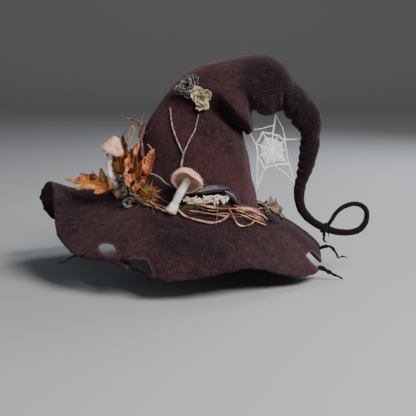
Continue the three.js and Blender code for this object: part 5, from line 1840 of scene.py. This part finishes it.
def petal(clay, root, way, facing, length, width, seed, mark):
    """One ruffled lobe of leafy lichen."""
    turn = np.linspace(0, math.pi, 9)
    across = np.cos(turn) * (0.5 + 0.1 * np.cos(turn * 7 + seed))
    along = 0.35 + np.sin(turn) * (0.65 + 0.07 * np.sin(turn * 9 + seed))
    edge = np.concatenate([[(-0.12, 0), (0.12, 0)], np.stack([across, along], axis=1)])
    outline = spacing_along(edge * (width, length), 0.9)
    flat, triangles = filled(outline, 1.1)
    frame = basis(root, root + way, facing)
    spot = np.insert(flat, 2, 3.1 * seed, axis=1)
    near = np.array([np.linalg.norm(outline - p, axis=1).min() for p in flat])
    height = 0.16 * flat[:, 1] ** 2 / length + 0.5 * drift(spot, 2.2, seed + 1)
    ruffled = smooth(flat[:, 1], 0.2 * length, 0.8 * length)
    height += 2.2 * np.exp(-near / 1.8) * drift(spot, 3.4, seed) * ruffled

    def place(points):
        return root + np.column_stack([points, height]) @ frame

    marks = np.zeros((len(flat), 3)) + mark
    marks[:, 0] = 0.55 * np.exp(-near / 0.5)
    # Painted shade darkens each lobe towards its root, where the lobes crowd.
    marks[:, 1] = 0.6 * (1 - smooth(flat[:, 1], 0, 0.5 * length))
    clay.sheet(flat, triangles, place, 0.45, marks)


def rosette(clay, rng, centre, out, half, tall, count, seed):
    """Ruffled lobes in layers about a centre, opening outwards."""
    # The heart under the lobes is painted in shade.
    rounded(clay, centre, 0.3 * half, 14, 831, 0.25, (0, 0.6, 0))
    frame = basis((0, 0, 0), (0, 0, 1) - out * out[2], out)
    for i in range(count):
        layer = i / count
        turn = i * 2.399 + rng.normal(0, 0.35)
        way = math.cos(turn) * frame[0] * half + math.sin(turn) * frame[1] * tall
        reach = float(np.linalg.norm(way)) * (1.0 - 0.5 * layer) * rng.uniform(0.7, 1.05)
        lean = unit(unit(way) + out * (0.2 + 1.0 * layer) + rng.normal(0, 0.22, 3))
        root = centre + unit(way) * 1.5 + out * (0.5 + 3.6 * layer)
        petal(
            clay, root, lean * reach, out, reach * 0.92, reach * rng.uniform(0.5, 0.8), i + 7 * seed,
            (0, 0, rng.uniform(-1, 1))
        )


def add_rosettes(green, grey):
    """Two rosettes of leafy lichen on the crown."""
    rows = (
        ("rosette_green", green, "rosette_green", (14.5, 147, 3), (18, 21), (0.1, -0.9, 0.4), 40),
        ("rosette_grey", grey, "grey_leaf", (-1, 159, 2.4), (22, 21), (-0.3, -0.8, 0.5), 40),
    )
    for seed, (name, finish, slot, spot, (half, tall), facing, count) in enumerate(rows):
        rng = np.random.default_rng(830 + seed)
        centre = on_felt([spot])[0]
        _, normal = nearest_on_felt(centre, 0)
        out = unit(normal + 0.6 * unit(facing))
        clay = Clay()
        rosette(clay, rng, centre, out, half, tall, count, seed)
        clay.piece(name + "_petals", finish, slot, stands_for=(name,))


def add_feathers(barbs):
    """Two dark feathers: a pale shaft and barbs that part here and there."""
    rows = (
        ("feather_long", (6, 26, 12), (51, 29, 5), 11.5, (0.2, -0.95, 0.1), 170),
        ("feather_short", (43, 26, 10), (62, 8, 6), 10, (0.55, -0.8, 0.2), 100),
    )
    for seed, (name, a, b, width, facing, count) in enumerate(rows):
        rng = np.random.default_rng(840 + seed)
        start, end = on_felt([a, b])
        middle = (start + end) / 2 + unit(facing) * 2.5 + (0, 0, 2.2)
        shaft = even([start, middle, end], 60)
        ahead, _, _ = frames(shaft)
        flat = unit(np.cross(ahead, unit(facing)))
        clay = Clay()
        clay.rod(shaft, np.linspace(0.7, 0.2, 60), 7, (0.9, 0, 0))
        for side in (1, -1):
            share = np.linspace(0.08, 0.995, count)
            spot = (share * 59).astype(int)
            full = np.sin(math.pi * np.clip(share, 0, 1) ** 0.75) ** 0.5 * width * 0.62
            parted = 0.25 * drift(np.outer(share, (9 * side, 0, 0)) + (0, 0, seed), 1.0, 841)
            out = unit(side * flat[spot] + ahead[spot] * (0.9 + 0.8 * share + parted)[:, None])
            lines = []
            for reach in np.linspace(0, 1, 6):
                droop = -0.22 * full[:, None] * reach**2 * unit(facing) * (
                    0.7 + 0.3 * rng.random((count, 1))
                )
                way = 1.15 * reach * out + 0.25 * reach**2 * ahead[spot]
                lines.append(shaft[spot] + way * full[:, None] + droop)
            marks = own_marks(rng, count)
            strips(
                clay, np.stack(lines, axis=1), np.array([0.42, 0.45, 0.4, 0.34, 0.26, 0.1]),
                np.cross(out, flat[spot]), 4, marks
            )
        clay.piece(name + "_barbs", barbs, "feather", stands_for=(name,))


# ------------------------------------------------------------------ wires and loose fibres
def dress_wires(finish):
    """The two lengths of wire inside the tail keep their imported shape."""
    for name in ("tail_wire", "curl_wire"):
        wire = bpy.data.objects[name]
        wire.data.materials.clear()
        wire.data.materials.append(finish)


def add_nap(settings, finish):
    """Loose wool fibres over the crown and the brim, longer and more lifted low on the brim's edge."""
    rng = np.random.default_rng(900)
    length, radius = settings.fibre_length / MM, settings.fibre_radius / MM
    share = settings.fibres
    crown_piece, brim_piece = (bpy.data.objects[name] for name in ("crown_felt", "brim_felt"))
    clay = Clay()
    add_fibres(clay, crown_piece, round(0.52 * share), length, radius, rng, lift=1.1)
    piece = clay.piece("crown_fibres", finish, "dark_felt", body=None)
    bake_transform(piece)
    clay = Clay()
    add_fibres(clay, brim_piece, round(0.34 * share), length, radius, rng, lift=1.1)

    def at_edge(places, normals):
        flat = np.hypot(places[:, 0], places[:, 1])
        return (places[:, 2] < -10) & (np.abs(normals[:, 2]) < 0.9) & (flat > 120)

    add_fibres(clay, brim_piece, round(0.14 * share), length * 1.3, radius, rng, lift=2.4, keep=at_edge)
    clay.piece("brim_fibres", finish, "dark_felt")


# ------------------------------------------------------------------ the stage
def area_light(name, place, aim, size, power, colour):
    """A soft square lamp at place that points at aim, in metres."""
    lamp = bpy.data.lights.new(name, "AREA")
    lamp.shape = "SQUARE"
    lamp.size, lamp.energy, lamp.color = size, power, linear(colour)
    made = bpy.data.objects.new(name, lamp)
    made.location = place
    made.rotation_mode = "QUATERNION"
    made.rotation_quaternion = (Vector(aim) - Vector(place)).to_track_quat("-Z", "Y")
    bpy.context.scene.collection.objects.link(made)


def add_stage(settings):
    """A plain pale floor that sweeps up behind, three soft lamps, a dim sky and the camera."""
    floor_z = min(CAD_BOX[0].z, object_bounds()[0].z) - 0.0005
    profile = [(-6.0, 0.0), (3.0, 0.0)]
    profile += [
        (3.0 + 1.5 * math.sin(a), 1.5 - 1.5 * math.cos(a)) for a in np.linspace(0.1, math.pi / 2, 12)
    ]
    profile += [(4.5, 5.0)]
    points = [(x, y, z + floor_z) for y, z in profile for x in (-7.0, 7.0)]
    faces = [(2 * i, 2 * i + 1, 2 * i + 3, 2 * i + 2) for i in range(len(profile) - 1)]
    mesh = bpy.data.meshes.new("floor")
    mesh.from_pydata(points, [], faces)
    mesh.shade_smooth()
    material, *_ = blank(
        "matt_painted_board", {"Base Color": opaque(settings.floor), "Roughness": 0.9}
    )
    mesh.materials.append(material)
    floor = bpy.data.objects.new("floor", mesh)
    bpy.context.scene.collection.objects.link(floor)
    floor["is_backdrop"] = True
    area_light("key", (0.9, -1.05, 1.25), (0.03, 0, 0.03), 0.9, settings.key, "#fff6ee")
    area_light("fill", (-1.5, -1.0, 0.5), (0, 0, 0), 1.2, settings.fill, "#eef4ff")
    area_light("rim", (0.9, 1.1, 0.9), (0.05, 0, 0.08), 0.8, settings.rim, "#f4f6ff")
    world = bpy.data.worlds.new("studio")
    bpy.context.scene.world = world
    world.use_nodes = True
    sky = world.node_tree.nodes["Background"]
    sky.inputs["Color"].default_value = opaque(linear("#c8ccd0"))
    sky.inputs["Strength"].default_value = 0.24
    lens = bpy.data.cameras.new("camera")
    lens.sensor_width, lens.lens = 36, 86.54
    camera = bpy.data.objects.new("camera", lens)
    aim = Vector((0.024, 0, -0.008))
    lift = math.radians(10)
    camera.location = aim + 1.4 * Vector((0, -math.cos(lift), math.sin(lift)))
    camera.rotation_mode = "QUATERNION"
    camera.rotation_quaternion = (aim - camera.location).to_track_quat("-Z", "Y")
    bpy.context.scene.collection.objects.link(camera)
    bpy.context.scene.camera = camera


# ------------------------------------------------------------------ operators
class HAT_OT_felt(Operator):
    """Build the felt crown with its curl, and the torn brim."""

    bl_idname = "hat.felt"
    bl_label = "Felt"

    def execute(self, context):
        settings = context.scene.hat_felt
        add_felt(settings, felt_finish("wet_felted_merino", settings))
        return {"FINISHED"}


class HAT_OT_strands(Operator):
    """Build the loose strands of felt, the strip across the bite and the knot on the curl."""

    bl_idname = "hat.strands"
    bl_label = "Strands"

    def execute(self, context):
        finish = felt_finish("twisted_felt", context.scene.hat_felt)
        add_strands(finish)
        add_knot(finish)
        return {"FINISHED"}


class HAT_OT_band(Operator):
    """Build the ribbon inside the head opening with its stitches."""

    bl_idname = "hat.band"
    bl_label = "Sweatband"

    def execute(self, context):
        add_band(ribbon_finish("cotton_grosgrain"), thread_finish("sewing_cotton", linear("#3a3337")))
        return {"FINISHED"}


class HAT_OT_vines(Operator):
    """Build the wreath of vines, its loose runs and the thread that ties them."""

    bl_idname = "hat.vines"
    bl_label = "Vines"

    def execute(self, context):
        settings = context.scene.hat_trim
        # Peeled vine: satin and warm brown, pale where its skin is thin.
        tones = (*shades(settings.vine, 0.3, 1.0)[:2], settings.vine_pale)
        vine = natural_finish("peeled_vine", tones, 2.2, 0.6, 0.35, linear("#c9a492"), BARK)
        straw = dried_finish("dry_straw_vine", settings)
        add_vines(settings, vine, straw, thread_finish("tie_cotton", linear("#8d776a")))
        return {"FINISHED"}


class HAT_OT_twigs(Operator):
    """Build the twigs and the red root."""

    bl_idname = "hat.twigs"
    bl_label = "Twigs"

    def execute(self, context):
        settings = context.scene.hat_trim
        add_twigs(dried_finish("weathered_bark", settings), dried_finish("dry_root", settings))
        return {"FINISHED"}


class HAT_OT_web(Operator):
    """Build the thread web inside the loop of the tail."""

    bl_idname = "hat.web"
    bl_label = "Thread web"

    def execute(self, context):
        settings = context.scene.hat_web
        add_web(settings, thread_finish("crochet_cotton", settings.cotton, 0.95))
        return {"FINISHED"}


class HAT_OT_mushrooms(Operator):
    """Build the two needle-felted mushrooms."""

    bl_idname = "hat.mushrooms"
    bl_label = "Mushrooms"

    def execute(self, context):
        settings = context.scene.hat_mushrooms
        # Each wool with the colour it is painted in shade.
        stem = wool_finish("cream_needle_felt", settings.stem, linear("#c8a292"))
        cap = wool_finish("pink_needle_felt", settings.cap, linear("#a57f6e"))
        add_mushrooms(settings, stem, cap)
        return {"FINISHED"}


class HAT_OT_leaves(Operator):
    """Build the dried leaves."""

    bl_idname = "hat.leaves"
    bl_label = "Leaves"

    def execute(self, context):
        settings = context.scene.hat_leaves
        names = (
            "dried_oak_leaf",
            "curled_maple_leaf",
            "pressed_maple_leaf",
            "yellow_leaf",
            "pink_brown_leaf",
            "grey_green_leaf",
            "frosted_leafy_lichen",
        )
        add_leaves(settings, *(dried_finish(name, settings) for name in names))
        return {"FINISHED"}


class HAT_OT_forage(Operator):
    """Build the berry, seed head, needles, mosses, lichens and feathers."""

    bl_idname = "hat.forage"
    bl_label = "Berry, mosses and feathers"

    def execute(self, context):
        settings = context.scene.hat_trim
        for add, *names in (
            (add_berry, "dried_berry_skin", "berry_stalk_bark"),
            (add_seeds, "golden_seed_spines", "dark_needles"),
            (add_mosses, "dried_moss", "bleached_lichen"),
            (add_rosettes, "green_leafy_lichen", "grey_leafy_lichen"),
            (add_feathers, "dark_feather"),
        ):
            add(*(dried_finish(name, settings) for name in names))
        return {"FINISHED"}


class HAT_OT_finish(Operator):
    """Dress the wires in the tail and lay the loose fibres over the felt."""

    bl_idname = "hat.finish"
    bl_label = "Wires and loose fibres"

    def execute(self, context):
        dress_wires(steel_finish("drawn_steel_wire"))
        settings = context.scene.hat_felt
        add_nap(settings, fibre_finish("loose_wool_fibre", settings))
        return {"FINISHED"}


class HAT_OT_stage(Operator):
    """Build the floor, the lamps and the camera."""

    bl_idname = "hat.stage"
    bl_label = "Stage"

    def execute(self, context):
        add_stage(context.scene.hat_stage)
        return {"FINISHED"}


STEPS = (
    HAT_OT_felt,
    HAT_OT_strands,
    HAT_OT_band,
    HAT_OT_vines,
    HAT_OT_twigs,
    HAT_OT_web,
    HAT_OT_mushrooms,
    HAT_OT_leaves,
    HAT_OT_forage,
    HAT_OT_finish,
    HAT_OT_stage,
)


class HAT_PT_steps(Panel):
    """Lists the steps that build the hat."""

    bl_label = "Felted witch hat"
    bl_idname = "HAT_PT_steps"
    bl_space_type = "VIEW_3D"
    bl_region_type = "UI"
    bl_category = "Hat"

    def draw(self, context):
        for step in STEPS:
            self.layout.operator(step.bl_idname)
        for group in GROUPS:
            box = self.layout.box()
            settings = getattr(context.scene, group)
            for name in settings.bl_rna.properties.keys():
                if name not in ("rna_type", "name"):
                    box.prop(settings, name)


GROUPS = {
    "hat_felt": FeltSettings,
    "hat_trim": TrimSettings,
    "hat_mushrooms": MushroomSettings,
    "hat_leaves": LeafSettings,
    "hat_web": WebSettings,
    "hat_stage": StageSettings,
}
CLASSES = (*GROUPS.values(), *STEPS, HAT_PT_steps)


def register():
    for each in CLASSES:
        bpy.utils.register_class(each)
    for name, group in GROUPS.items():
        setattr(bpy.types.Scene, name, PointerProperty(type=group))


def unregister():
    for name in GROUPS:
        delattr(bpy.types.Scene, name)
    for each in reversed(CLASSES):
        bpy.utils.unregister_class(each)


def main():
    register()
    for step in STEPS:
        group, name = step.bl_idname.split(".")
        getattr(getattr(bpy.ops, group), name)()


if __name__ == "__main__":
    main()
